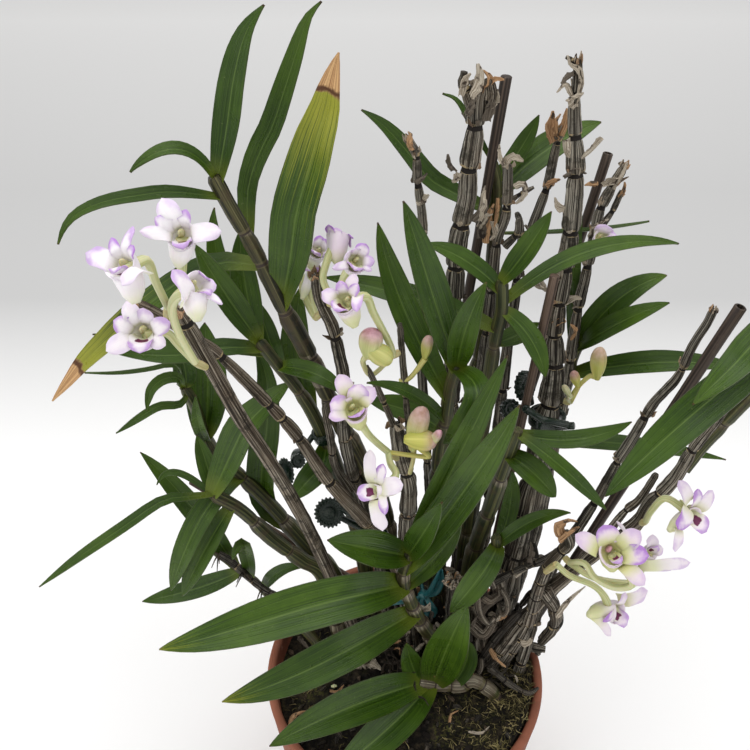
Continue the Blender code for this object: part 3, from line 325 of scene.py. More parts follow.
def add_stem(growth, widths, route, internode, kind, sides=20, ribs=0.05, neck=0.88, band=1.3,
             step=1.5, tone=0.5, tan=0.0, nodes=None, gnarl=0.0, club=0.8):
    """Jointed stem: fuller between its nodes, with a band and a thin lip at each node.

    Tints: red is 1 on a node's band and 0.5 on the lip above it, green is how pale and tan
    the stem is, blue its own tone, and alpha the place between two nodes.
    """
    curve = smooth_route(route)
    total = length_of(curve)
    joints = max(2, round(total / internode))
    marks = nodes or [i / joints for i in range(1, joints)]
    marks = [f * total for f in marks]
    places = []
    spot = 0.0
    while spot < total:
        places.append(spot)
        spot += step
    for mark in marks:
        places += [mark + d for d in (-band, -0.6 * band, -0.2, 0.25, 0.7, 1.1)]
    places = sorted(set(round(p, 3) for p in places if 0 <= p < total - 0.2)) + [total]
    spine = along(curve, [p / total for p in places])
    phases = [between(0, 6.28) for phase in range(4)]
    shift = between(0, 90)
    swells = [between(0.95, 1.07) for length in range(len(marks) + 1)]
    bounds = [-0.4 * internode] + marks + [total + 0.3 * internode]
    radii = []
    tints = []
    for p in places:
        k = max(i for i in range(len(bounds) - 1) if bounds[i] <= p + 1e-6)
        up = (p - bounds[k]) / (bounds[k + 1] - bounds[k])
        away = p - bounds[k]
        before = bounds[k + 1] - p
        full = width_at(widths, p / total) / 2 * 0.98 * swells[k]
        full *= 1.0 - (1.0 - neck) * up ** club
        full *= 0.88 + 0.12 * eased(away / 2.0)
        full *= 0.76 + 0.24 * eased(before / (0.16 * internode))
        if p > total - 1.2:
            full *= 0.75
        radii.append(full)
        on_band = 1.0 if before <= band and k < len(marks) or away < 0.15 and k else 0.0
        lip = 0.5 if k and 0.15 <= away < 1.1 else 0.0
        tints.append((on_band + lip, tan, tone, up))

    def reach(i, a):
        p = places[i]
        quiet = 0.25 + 0.75 * eased(min(abs(mark - p) for mark in marks) / (0.22 * internode))
        wave = (0.40 * cos(5 * a + phases[0] + 0.02 * p) + 0.45 * cos(9 * a + phases[1])
                + 0.5 * cos(13 * a + phases[2] - 0.015 * p))
        spot = Vector((cos(a) * 1.1, sin(a) * 1.1, p * 0.13 + shift))
        lumps = noise.noise(spot) + 0.7 * noise.noise(spot * 2.3)
        return radii[i] * (1 + ribs * quiet * (wave - 0.35) + gnarl * lumps)

    add_skin(growth, hoops(spine, sides, reach), [p / 10 for p in places], tints, kind)
    return curve, marks, total


def add_scrap(growth, root, tip, width, curl, kind, tint, rows=6, count=5):
    """Torn papery scrap of old sheath, rolled in at its edges and ragged at its end."""
    root = Vector(root)
    tip = Vector(tip)
    run = (tip - root).normalized()
    side = run.orthogonal().normalized()
    side.rotate(Quaternion(run, between(0, 6.28)))
    up = side.cross(run)
    sheet = []
    for i in range(rows):
        v = i / (rows - 1)
        wide = width / 2 * (0.55 + 0.45 * sin(pi * min(v * 1.3, 1))) * (1 - 0.75 * v ** 3)
        row = []
        for k in range(count):
            s = 2 * k / (count - 1) - 1
            ragged = between(-0.12, 0.12) * v
            lift = wide * (1 - cos(s * 1.4)) * 0.8 + curl * v * v
            row.append(root.lerp(tip, v + ragged) + side * wide * sin(s * 1.4) + up * lift)
        sheet.append(row)
    add_sheet(growth, sheet, 0.3, tint, kind)


def add_shred(growth, way, wide, kind, tint, rows=11, count=5):
    """Dry strip of torn sheath that follows its way, rolled along its length and ragged."""
    spine = along(smooth_route(way, 5), [i / (rows - 1) for i in range(rows)])
    side = (spine[1] - spine[0]).orthogonal().normalized()
    side.rotate(Quaternion((spine[1] - spine[0]).normalized(), between(0, 6.28)))
    sheet = []
    for i, centre in enumerate(spine):
        v = i / (rows - 1)
        run = (spine[min(i + 1, rows - 1)] - spine[max(i - 1, 0)]).normalized()
        side.rotate(Quaternion(run, between(-0.25, 0.35)))
        side = (side - run * side.dot(run)).normalized()
        up = side.cross(run)
        half = wide / 2 * (0.8 + 0.35 * sin(3 * v)) * (1 - 0.8 * v ** 2.5) * between(0.8, 1.15)
        row = []
        for k in range(count):
            s = 2 * k / (count - 1) - 1
            ragged = run * between(-0.35, 0.35) * half
            row.append(centre + ragged + side * half * sin(s * 1.5) + up * half * (1 - cos(s * 1.5)))
        sheet.append(row)
    add_sheet(growth, sheet, 0.3, tint, kind)


def finish_piece(name, growth, materials, node, angle=45):
    """Mesh of a growth, in metres, standing for a node and riding with the whole plant."""
    mesh = bpy.data.meshes.new(name)
    mesh.from_pydata([tuple(corner * MM) for corner in growth["corners"]], [], growth["faces"])
    marks = mesh.uv_layers.new(name="grain")
    marks.data.foreach_set("uv", [x for face in growth["uvs"] for mark in face for x in mark])
    tint = mesh.color_attributes.new(name="tint", type='FLOAT_COLOR', domain='POINT')
    tint.data.foreach_set("color", [x for shade in growth["tints"] for x in shade])
    mesh.polygons.foreach_set("material_index", growth["kinds"])
    for paint in materials:
        mesh.materials.append(paint)
    made = bpy.data.objects.new(name, mesh)
    bpy.context.scene.collection.objects.link(made)
    made.select_set(True)
    bpy.context.view_layer.objects.active = made
    bpy.ops.object.shade_smooth_by_angle(angle=radians(angle))
    made.select_set(False)
    if node:
        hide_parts(node)
    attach(made, "root")
    return made


def new_group(name, ins, outs):
    """Node group with float inputs and outputs; returns it with its two end nodes."""
    group = bpy.data.node_groups.new(name, 'ShaderNodeTree')
    for label, value in ins:
        socket = group.interface.new_socket(label, in_out='INPUT', socket_type='NodeSocketFloat')
        socket.default_value = value
    for label, kind in outs:
        group.interface.new_socket(label, in_out='OUTPUT', socket_type=kind)
    return group, put(group, "NodeGroupInput"), put(group, "NodeGroupOutput")


def noisy(tree, where, scale, detail=3.0, rough=0.55):
    made = put(tree, "ShaderNodeTexNoise",
               {"Vector": where, "Scale": scale, "Detail": detail, "Roughness": rough})
    return made.outputs["Fac"]


# Soft clouds at a real scale over the object's own place, and the patches cut out of them.
clouding, entry, leave = new_group("soft_clouds", (("Scale", 100.0), ("Detail", 3.0), ("Roughness", 0.55),
                                                   ("Low", 0.4), ("High", 0.6)),
                                   (("Cloud", 'NodeSocketFloat'), ("Patch", 'NodeSocketFloat')))
cloud_fac = noisy(clouding, put(clouding, "ShaderNodeTexCoord").outputs["Object"],
                  *[entry.outputs[label] for label in ("Scale", "Detail", "Roughness")])
clouding.links.new(cloud_fac, leave.inputs["Cloud"])
cut_out = rising(clouding, cloud_fac, entry.outputs["Low"], entry.outputs["High"])
clouding.links.new(cut_out, leave.inputs["Patch"])


def cloud(tree, scale, detail=3.0, rough=0.55):
    """Soft cloudy value, 0 to 1."""
    return put(tree, "ShaderNodeGroup", {"Scale": scale, "Detail": detail, "Roughness": rough},
               node_tree=clouding).outputs["Cloud"]


def patch(tree, low, high, scale, detail=3.0, rough=0.55):
    """Mask of scattered patches: 0 below low and 1 above high."""
    return put(tree, "ShaderNodeGroup", {"Scale": scale, "Detail": detail, "Roughness": rough,
                                         "Low": low, "High": high}, node_tree=clouding).outputs["Patch"]


# Fine lines that run lengthwise on a flat blade, sheath or petal.
lining, entry, leave = new_group("lengthwise_lines", (("Across", 30.0), ("Along", 1.5), ("Detail", 2.0)),
                                 (("Lines", 'NodeSocketFloat'),))
grain = put(lining, "ShaderNodeUVMap", uv_map="grain").outputs[0]
parts = put(lining, "ShaderNodeSeparateXYZ", {0: grain})
where = put(lining, "ShaderNodeCombineXYZ", {0: times(lining, parts.outputs["X"], entry.outputs["Across"]),
                                             1: times(lining, parts.outputs["Y"], entry.outputs["Along"])})
lining.links.new(noisy(lining, where.outputs[0], 1.0, entry.outputs["Detail"]), leave.inputs["Lines"])


def lines_on(tree, across, along, detail=2.0):
    return put(tree, "ShaderNodeGroup", {"Across": across, "Along": along, "Detail": detail},
               node_tree=lining).outputs["Lines"]


# Fibres that run lengthwise without a seam: the turn round the stem is read as a circle.
fibres, entry, leave = new_group("lengthwise_fibres", (("Turns", 3.0), ("Stretch", 0.3)),
                                 (("Streaks", 'NodeSocketFloat'),))
grain = put(fibres, "ShaderNodeUVMap", uv_map="grain").outputs[0]
parts = put(fibres, "ShaderNodeSeparateXYZ", {0: grain})
turn = times(fibres, parts.outputs["X"], 2 * pi)
round_x = times(fibres, maths(fibres, 'COSINE', turn), entry.outputs["Turns"])
round_y = times(fibres, maths(fibres, 'SINE', turn), entry.outputs["Turns"])
run = times(fibres, parts.outputs["Y"], entry.outputs["Stretch"])
where = put(fibres, "ShaderNodeCombineXYZ", {0: round_x, 1: round_y, 2: run}).outputs[0]
fibres.links.new(noisy(fibres, where, 1.0, 5.0, 0.62), leave.inputs["Streaks"])


def fibre_mask(tree, turns, stretch):
    made = put(tree, "ShaderNodeGroup", node_tree=fibres)
    made.inputs["Turns"].default_value = turns
    made.inputs["Stretch"].default_value = stretch
    return made.outputs["Streaks"]


def shades(tree, value, *stops):
    """Colour ramp over a value: stops are (place, red, green, blue)."""
    ramp = put(tree, "ShaderNodeValToRGB", {0: value})
    ramp.color_ramp.interpolation = 'LINEAR'
    while len(ramp.color_ramp.elements) < len(stops):
        ramp.color_ramp.elements.new(0.5)
    for element, (place, red, green, blue) in zip(ramp.color_ramp.elements, stops):
        element.position = place
        element.color = (red, green, blue, 1)
    return ramp.outputs[0]


def tints_of(tree):
    """The piece's own tint attribute: red, green, blue and alpha."""
    made = put(tree, "ShaderNodeAttribute", attribute_name="tint")
    split = put(tree, "ShaderNodeSeparateColor", {0: made.outputs["Color"]})
    return split.outputs[0], split.outputs[1], split.outputs[2], made.outputs["Alpha"]


def paint_of(name, roughness=0.5, specular=0.5):
    """Empty material with its tree and shader, to be fed by its section."""
    made = bpy.data.materials.new(name)
    made.use_nodes = True
    shader = made.node_tree.nodes["Principled BSDF"]
    shader.inputs["Roughness"].default_value = roughness
    shader.inputs["Specular IOR Level"].default_value = specular
    return made, made.node_tree, shader


def bumped(tree, shader, height, strength, distance):
    made = put(tree, "ShaderNodeBump", {"Height": height, "Strength": strength, "Distance": distance})
    tree.links.new(made.outputs[0], shader.inputs["Normal"])


dry_cane, tree, shader = paint_of("dry_cane", 0.8, 0.25)
band, pale, tone, fuller = tints_of(tree)
coarse = fibre_mask(tree, 4.6, 0.14)
fine = fibre_mask(tree, 13.0, 0.6)
streaks = plus(tree, times(tree, coarse, 0.62), times(tree, fine, 0.38))
grey = shades(tree, streaks, (0.43, 0.006, 0.005, 0.004), (0.485, 0.035, 0.029, 0.022),
              (0.525, 0.16, 0.142, 0.112), (0.575, 0.47, 0.435, 0.365))
brown = shades(tree, streaks, (0.40, 0.030, 0.020, 0.013), (0.47, 0.11, 0.075, 0.046),
               (0.54, 0.24, 0.17, 0.108), (0.63, 0.46, 0.36, 0.25))
patches = patch(tree, 0.42, 0.68, 60.0, 3.0)
warm = times(tree, patches, 0.25)
colour = mixed(tree, maths(tree, 'ADD', pale, warm, True), grey, brown)
mould = patch(tree, 0.50, 0.64, 150.0, 4.0, 0.72)
colour = mixed(tree, times(tree, mould, 0.72), colour, (0.016, 0.014, 0.009, 1))
worn = swing(tree, cloud(tree, 380.0, 3.0), 1.1)
band = plus(tree, band, times(tree, worn, rising(tree, band, 0.1, 0.4)))
lip = times(tree, rising(tree, band, 0.25, 0.45), patch(tree, 0.46, 0.60, 300.0, 2.0))
colour = mixed(tree, lip, colour, (0.47, 0.36, 0.20, 1))
colour = mixed(tree, rising(tree, band, 0.62, 0.85), colour, (0.018, 0.014, 0.012, 1))
colour = mixed(tree, rising(tree, tone, 0.5, 0.0), colour, (0.012, 0.009, 0.007, 1))
tree.links.new(colour, shader.inputs["Base Color"])
bumped(tree, shader, streaks, 1.0, 0.0012)

papery, tree, shader = paint_of("papery_sheath", 0.85, 0.2)
band, pale, tone, fuller = tints_of(tree)
lines = lines_on(tree, 26.0, 1.4, 3.0)
blotches = cloud(tree, 320.0, 3.0)
paper = shades(tree, lines, (0.38, 0.17, 0.135, 0.10), (0.50, 0.40, 0.34, 0.26), (0.62, 0.66, 0.60, 0.50))
tan = shades(tree, lines, (0.38, 0.16, 0.075, 0.03), (0.50, 0.42, 0.22, 0.095), (0.62, 0.62, 0.38, 0.19))
colour = mixed(tree, pale, paper, tan)
colour = mixed(tree, rising(tree, blotches, 0.54, 0.66), colour, (0.07, 0.052, 0.04, 1))
colour = mixed(tree, band, colour, (0.03, 0.024, 0.02, 1))
tree.links.new(colour, shader.inputs["Base Color"])
bumped(tree, shader, lines, 0.5, 0.0004)
CANE, PAPER = 0, 1


BLEACHED, TANNED, BLACKENED = (0.0, 0.0, 0.5, 0), (0.0, 0.85, 0.5, 0), (0.75, 0.1, 0.5, 0)
HIDDEN = 135


def grow_old_cane(name, widths, internode, route, branches=(), ribs=0.07, tan=0.0, scraps=3.0,
                  nodes=None, gnarl=0.13, shreds=()):
    """One old cane with its dead side stubs and the torn sheath left at its nodes."""
    growth = new_growth()
    curve, marks, total = add_stem(growth, widths, from_foot(route), internode, CANE, ribs=ribs,
                                   tan=tan, sides=32, nodes=nodes, gnarl=gnarl, band=1.8)
    for shade, wide, *way in shreds:
        add_shred(growth, [Vector(p) for p in way], wide, PAPER, shade)
    for wide, way, *short in branches:
        add_stem(growth, wide, way, short[0] if short else 26, CANE, sides=18, ribs=ribs, tan=tan + 0.1,
                 band=1.1, gnarl=0.16)
    for mark in marks:
        spot, ahead = along(curve, [mark / total, min(mark / total + 0.02, 1)])
        if spot.z < HIDDEN:
            continue
        run = (ahead - spot).normalized()
        reach = width_at(widths, mark / total) / 2
        for scrap in range(int(scraps + chance.random())):
            out = run.orthogonal().normalized()
            out.rotate(Quaternion(run, between(0, 6.28)))
            root = spot + out * reach * 0.86 + run * between(-0.6, 0.8)
            long = between(1.6, 4.6)
            tip = root + (run * between(0.4, 1.0) + out * between(0.05, 0.6)) * long
            shade = (chance.choice((0.0, 0.25, 0.75)), chance.choice((0.0, 0.15, 0.6)), 0.5, 0)
            add_scrap(growth, root, tip, between(1.2, 2.8), between(-0.8, 0.8),
                      PAPER, shade)
    end = curve[-1]
    run = (curve[-1] - curve[-3]).normalized()
    for k in range(5):
        out = run.orthogonal().normalized()
        out.rotate(Quaternion(run, 1.25 * k + between(-0.3, 0.3)))
        root = end + out * widths[-1] * 0.38 - run * 1.0
        tip = root + run * between(1.5, 3.8) + out * between(-0.6, 0.9)
        add_scrap(growth, root, tip, widths[-1] * 0.55, 0.2, PAPER,
                  (chance.choice((0.0, 0.4)), chance.choice((0.1, 0.7)), 0.5, 0), rows=5, count=5)
    return finish_piece(name + "_bark", growth, (dry_cane, papery), name)


grow_old_cane("old_cane_thin_back", (6, 3.4), 28, [
    (5, 42), (12, 38, 191), (7, 32, 260), (3, 27, 316), (3, 24, 348), (2, 23, 363), (0, 22, 376),
    (-1, 22, 386), (-4, 22, 392)], nodes=(0.15, 0.3, 0.45, 0.58, 0.7, 0.79, 0.87, 0.942, 0.975), shreds=(
    (TANNED, 2.6, (-3, 20, 388), (-4, 20, 391), (-3, 20, 394)),
    (BLACKENED, 2.2, (-1, 20, 377), (2, 20, 379), (3, 20, 380)),
    (BLEACHED, 2.4, (0, 21, 368), (2, 21, 370), (4, 20, 372))))
grow_old_cane("old_cane_thick_back", (9.5, 7.4), 27, [
    (16, 36), (18, 34, 195), (18, 30, 273), (16, 27, 334), (16, 26, 352), (18, 25, 368), (18, 24, 381),
    (19, 24, 394), (19, 24, 404), (20, 24, 409)], [
    ((4.6, 3.6), [(17, 24, 402), (14, 24, 409), (14, 24, 413)]),
    ((5.6, 4.4), [(20, 24, 398), (23, 23, 405), (22, 23, 411)])],
    nodes=(0.12, 0.24, 0.36, 0.46, 0.55, 0.64, 0.728, 0.777, 0.835, 0.908, 0.957), shreds=(
    (BLEACHED, 2.6, (13, 22, 406), (14, 22, 411), (16, 22, 413)),
    (BLEACHED, 4.4, (16, 22, 406), (18, 22, 411), (18, 22, 416)),
    (TANNED, 2.4, (21, 22, 407), (22, 22, 411), (20, 22, 414)),
    (BLEACHED, 2.6, (23, 22, 402), (25, 22, 405), (25, 22, 408)),
    (TANNED, 1.6, (21, 22, 408), (24, 22, 411), (27, 22, 411)),
    (BLACKENED, 3.4, (22, 21, 398), (23, 21, 404), (24, 21, 407)),
    (BLACKENED, 3.0, (15, 21, 400), (17, 21, 404), (19, 21, 406)),
    (BLEACHED, 3.6, (22, 23, 361), (23, 23, 368), (23, 23, 371), (24, 23, 374)),
    (BLACKENED, 3.2, (21, 23, 360), (24, 22, 365), (24, 22, 370)),
    (BLACKENED, 2.6, (13, 23, 380), (11, 22, 383), (10, 22, 386)),
    (BLEACHED, 2.4, (14, 23, 379), (13, 22, 377), (12, 22, 376))))
grow_old_cane("old_cane_slender_back", (7.5, 4), 28, [
    (29, 42), (28, 38, 205), (30, 33, 271), (31, 31, 313), (31, 30, 337), (31, 29, 350), (33, 28, 360),
    (33, 28, 369), (32, 28, 380)], [
    ((2.6, 1.6), [(34, 28, 366), (37, 27, 369), (42, 27, 372)]),
    ((3.6, 3.0), [(34, 28, 348), (38, 27, 354), (38, 27, 360)])],
    nodes=(0.12, 0.24, 0.36, 0.48, 0.58, 0.66, 0.74, 0.81, 0.887, 0.946), shreds=(
    (BLEACHED, 2.4, (31, 26, 380), (29, 26, 384), (28, 26, 388)),
    (BLEACHED, 2.8, (31, 26, 380), (33, 26, 383), (37, 26, 382)),
    (BLEACHED, 2.6, (35, 26, 372), (38, 26, 373), (38, 26, 369), (36, 26, 366)),
    (TANNED, 3.0, (26, 27, 350), (26, 27, 357), (27, 26, 363), (28, 26, 366)),
    (TANNED, 2.6, (29, 26, 368), (29, 26, 363), (29, 26, 357)),
    (BLACKENED, 3.0, (24, 27, 352), (25, 27, 358), (27, 26, 361)),
    (BLEACHED, 2.4, (23, 27, 356), (25, 26, 361), (28, 26, 362)),
    (BLEACHED, 2.6, (28, 26, 359), (30, 27, 354), (28, 27, 351))))
grow_old_cane("old_cane_forked_back", (8, 3.4), 28, [
    (38, 39), (41, 38, 191), (41, 36, 251), (41, 36, 300), (42, 37, 319), (42, 38, 336), (45, 39, 347),
    (48, 40, 359), (50, 41, 367), (51, 42, 376), (52, 42, 388)], [
    ((3.6, 2.6), [(42, 38, 338), (41, 38, 351), (39, 38, 357)])], ribs=0.05, gnarl=0.08,
    nodes=(0.12, 0.24, 0.36, 0.48, 0.6, 0.7, 0.79, 0.86, 0.921, 0.985), shreds=(
    (TANNED, 4.0, (50, 40, 384), (48, 40, 389), (48, 40, 395)),
    (TANNED, 2.6, (50, 40, 386), (50, 40, 391), (51, 40, 394)),
    (TANNED, 2.6, (52, 40, 386), (53, 40, 391), (53, 40, 396)),
    (TANNED, 2.6, (49, 39, 367), (52, 39, 369), (54, 39, 370))))
grow_old_cane("old_cane_frilled_back", (7.6, 4.2), 27, [
    (53, 26), (63, 28, 187), (66, 31, 237), (68, 34, 281), (69, 39, 313), (70, 40, 327), (71, 42, 339),
    (72, 44, 347), (73, 46, 355), (76, 47, 363), (80, 48, 372)], [
    ((3, 2.8), [(74, 46, 347), (79, 50, 352), (82, 52, 360)])],
    nodes=(0.12, 0.24, 0.36, 0.48, 0.59, 0.69, 0.78, 0.85, 0.901, 0.937, 0.97), shreds=(
    (BLEACHED, 2.4, (76, 45, 364), (78, 45, 369), (80, 46, 374)),
    (TANNED, 2.8, (81, 51, 358), (82, 51, 362), (82, 51, 364)),
    (BLEACHED, 2.6, (72, 45, 365), (75, 45, 367), (79, 45, 368)),
    (BLEACHED, 3.0, (69, 42, 345), (70, 42, 349), (73, 43, 351), (76, 43, 352)),
    (BLACKENED, 3.0, (70, 41, 344), (73, 42, 347), (76, 42, 349)),
    (TANNED, 1.8, (70, 45, 366), (67, 45, 366), (65, 45, 365))))
grow_old_cane("old_cane_right_thin", (7, 3.4), 28, [
    (58, -3), (68, 6, 191), (77, 8, 217), (83, 8, 237), (87, 6, 259), (91, 5, 275), (95, 4, 292),
    (101, 3, 305), (103, 2, 320), (106, 2, 330), (107, 2, 336)])
grow_old_cane("old_cane_left_rod", (6.2, 6.2), 30, [
    (-20, 6), (-36, 2, 192), (-46, -3, 235), (-56, -9, 271), (-65, -14, 299), (-71, -18, 322),
    (-78, -24, 351)], ribs=0.03, tan=0.25, scraps=0.0, nodes=(0.06, 0.985), gnarl=0.05)
grow_old_cane("old_cane_left_jointed", (8.8, 4.0), 27, [
    (5, 24), (-5, 14, 185), (-18, 9, 218), (-35, 4, 250), (-46, 0, 278), (-56, -4, 298), (-71, -7, 322),
    (-79, -9, 331), (-89, -11, 342), (-96, -12, 347)], tan=0.35, scraps=1.0,
    nodes=(0.12, 0.27, 0.439, 0.568, 0.679, 0.728, 0.763, 0.868), gnarl=0.07)
grow_old_cane("old_cane_mid_stub", (7.5, 5), 27, [
    (-7, 26), (-16, 21, 202), (-25, 16, 244), (-28, 11, 272), (-27, 9, 297), (-29, 8, 314), (-31, 7, 326),
    (-35, 6, 338), (-36, 6, 348)], [
    ((4.5, 3), [(-26, 12, 237), (-32, 8, 255), (-33, 4, 273), (-35, 2, 293)])])
grow_old_cane("old_cane_mid_brown", (11, 6.5), 27, [
    (5, 10), (0, 4, 186), (-1, 0, 224), (-1, -3, 254), (-5, -5, 275), (-7, -6, 289)], [
    ((3, 2.4), [(-6, -6, 283), (-9, -6, 292), (-14, -7, 307), (-18, -8, 318)]),
    ((3, 2.6), [(-1, -4, 268), (-2, -3, 286), (-4, 0, 308), (-6, 2, 330)])])
grow_old_cane("old_canes_right", (13.5, 13.5, 13, 12.5, 12, 8.5, 7.4, 7.2, 3), 30, [
    (45, 13), (49, 14, 162), (54, 17, 206), (58, 20, 264), (59, 22, 290), (57, 24, 313), (57, 25, 326),
    (58, 27, 343), (58, 28, 355), (57, 29, 374), (55, 30, 388), (53, 30, 401), (53, 30, 407),
    (52, 30, 415)], [
    ((2.4, 1.8), [(52, 30, 413), (50, 30, 415), (48, 30, 416)]),
    ((6, 5), [(47, 11, 128), (60, 7, 132), (72, 4, 132)]),
    ((6.5, 6), [(50, 14, 177), (57, 13, 187), (66, 12, 191)]),
    ((9, 4.5), [
        (44, 9, 117), (46, 0, 131), (62, -5, 183), (77, -8, 212), (94, -11, 240), (97, -12, 253),
        (103, -13, 266), (107, -14, 285), (111, -15, 298), (113, -16, 309)]),
    ((5, 3), [(72, -7, 205), (82, -8, 226), (89, -8, 243), (94, -8, 251), (98, -8, 265)]),
    ((7, 5), [
        (50, -2, 131), (57, -5, 160), (58, -8, 178), (58, -11, 197), (59, -13, 213), (63, -15, 226),
        (66, -16, 233), (64, -16, 240)], 12),
    ((8, 5.5), [(61, -8, 195), (68, -7, 181), (71, -4, 163), (67, -2, 146)], 17),
    ((13, 9), [
        (42, 5, 111), (39, 3, 141), (34, 2, 166), (30, 2, 183), (35, 4, 192), (42, 5, 188), (45, 6, 175)],
        13), ((10, 8), [(43, 7, 127), (46, 4, 149), (48, 4, 167)])],
    nodes=(0.12, 0.2, 0.28, 0.36, 0.43, 0.5, 0.561, 0.623, 0.666, 0.712, 0.759, 0.806, 0.876, 0.92, 0.967),
    shreds=(
    (BLEACHED, 2.6, (53, 28, 405), (53, 28, 409), (52, 28, 412), (49, 28, 414), (48, 28, 417)),
    (BLEACHED, 2.0, (52, 28, 403), (50, 28, 407), (48, 28, 408), (46, 28, 405)),
    (BLACKENED, 2.0, (51, 28, 411), (49, 28, 410), (47, 28, 408)),
    (BLEACHED, 5.0, (50, 28, 402), (52, 28, 404), (55, 28, 405)),
    (BLEACHED, 3.2, (51, 28, 389), (52, 28, 385), (54, 28, 382), (56, 27, 380)),
    (BLEACHED, 3.2, (64, 28, 389), (61, 28, 385), (58, 28, 382), (56, 27, 380)),
    (BLACKENED, 2.4, (52, 27, 376), (56, 27, 379), (60, 27, 377)),
    (BLEACHED, 2.4, (54, 26, 364), (51, 26, 365), (50, 27, 368)),
    (BLACKENED, 3.4, (55, 25, 341), (58, 25, 344), (60, 25, 347)),
    (BLEACHED, 3.4, (52, 25, 342), (55, 25, 345), (60, 25, 350)),
    (BLEACHED, 3.6, (53, 23, 335), (54, 23, 341), (53, 25, 345)),
    (BLEACHED, 2.2, (52, 23, 332), (48, 23, 334), (44, 22, 336)),
    (BLEACHED, 1.6, (50, 23, 333), (48, 23, 336), (47, 22, 339)),
    (BLEACHED, 2.4, (59, 23, 325), (62, 23, 328), (65, 23, 328)),
    (TANNED, 2.6, (55, 22, 317), (58, 22, 319), (60, 22, 318)),
    (BLEACHED, 2.6, (53, 22, 310), (51, 22, 312), (52, 22, 314)),
    (TANNED, 2.2, (63, 22, 310), (64, 22, 314), (62, 22, 317)),
    (TANNED, 4.6, (64, -17, 237), (61, -17, 242), (63, -17, 247), (67, -17, 247)),
    (TANNED, 3.6, (62, -18, 236), (65, -18, 241), (68, -18, 245)),
    (BLEACHED, 3.6, (28, -2, 181), (30, -4, 190), (36, -4, 197), (41, -3, 194)),
    (TANNED, 3.0, (27, 0, 172), (28, -4, 181), (31, -5, 187)),
    (BLACKENED, 4.0, (33, -4, 165), (38, -5, 176), (45, -4, 184)),
    (BLEACHED, 3.4, (40, -4, 160), (45, -5, 170), (48, -4, 178)),
    (TANNED, 3.0, (44, -4, 166), (47, -6, 172), (46, -7, 180)),
    (BLEACHED, 2.6, (48, -6, 200), (52, -7, 206), (56, -7, 209)),
    (BLACKENED, 2.4, (53, -8, 212), (53, -8, 219), (52, -8, 225)),
    (BLEACHED, 3.0, (70, -10, 176), (74, -9, 186), (80, -8, 196))))


# ---------------------------------------------------------------- leafy canes
# Living canes, each with its leaves: fleshy jointed stems in thin sheaths, olive brown, and
# glossy lance-shaped leaves that grow from the nodes and fold along the midrib.
leaf_green, tree, shader = paint_of("leaf_green", 0.33, 0.3)
ageing, shade, tone, under = tints_of(tree)
grain = put(tree, "ShaderNodeUVMap", uv_map="grain").outputs[0]
parts = put(tree, "ShaderNodeSeparateXYZ", {0: grain})
across = parts.outputs["X"]
down = parts.outputs["Y"]
off_rib = maths(tree, 'ABSOLUTE', maths(tree, 'SUBTRACT', across, 0.5))
veins = lines_on(tree, 34.0, 1.6)
clouds = cloud(tree, 55.0, 3.0)
deep = mixed(tree, tone, (0.016, 0.042, 0.003, 1), (0.036, 0.080, 0.006, 1))
fresh = mixed(tree, tone, (0.042, 0.092, 0.006, 1), (0.085, 0.155, 0.011, 1))
colour = mixed(tree, rising(tree, plus(tree, clouds, times(tree, down, 0.22)), 0.42, 0.95),
               deep, fresh)
colour = mixed(tree, times(tree, rising(tree, veins, 0.46, 0.62), 0.5), colour, fresh)
shadowed = times(tree, rising(tree, veins, 0.46, 0.34), 0.55)
colour = mixed(tree, shadowed, colour, (0.010, 0.026, 0.003, 1))
freckles = times(tree, patch(tree, 0.68, 0.74, 900.0, 2.0), 0.5)
colour = mixed(tree, freckles, colour, (0.13, 0.17, 0.05, 1))
rib = rising(tree, off_rib, 0.028, 0.008)
colour = mixed(tree, times(tree, rib, 0.6), colour, (0.12, 0.19, 0.035, 1))
margin = rising(tree, off_rib, 0.478, 0.496)
colour = mixed(tree, times(tree, margin, 0.6), colour, (0.045, 0.050, 0.018, 1))
colour = mixed(tree, times(tree, under, 0.45), colour, (0.075, 0.125, 0.025, 1))
heel = times(tree, rising(tree, down, 0.16, 0.02), 0.55)
colour = mixed(tree, heel, colour, (0.17, 0.21, 0.02, 1))
singed = rising(tree, plus(tree, down, times(tree, clouds, 0.03)), 0.99, 1.005)
colour = mixed(tree, singed, colour, (0.06, 0.035, 0.012, 1))
worn = plus(tree, down, swing(tree, cloud(tree, 160.0), 0.07))
streaked = swing(tree, veins, 0.9)
yellowed = rising(tree, plus(tree, plus(tree, worn, streaked), ageing), 1.02, 1.38)
colour = mixed(tree, yellowed, colour, (0.30, 0.31, 0.03, 1))
dried = rising(tree, plus(tree, worn, ageing), 1.37, 1.385)
tan = shades(tree, veins, (0.38, 0.32, 0.15, 0.06), (0.60, 0.72, 0.46, 0.22))
colour = mixed(tree, dried, colour, tan)
edge = times(tree, dried, rising(tree, plus(tree, worn, ageing), 1.405, 1.39))
colour = mixed(tree, edge, colour, (0.10, 0.04, 0.015, 1))
tree.links.new(colour, shader.inputs["Base Color"])
gloss = plus(tree, 0.12, times(tree, cloud(tree, 90.0, 3.0), 0.36))
gloss = plus(tree, gloss, times(tree, under, 0.2))
tree.links.new(plus(tree, gloss, times(tree, dried, 0.3)), shader.inputs["Roughness"])
bumped(tree, shader, veins, 0.6, 0.0005)

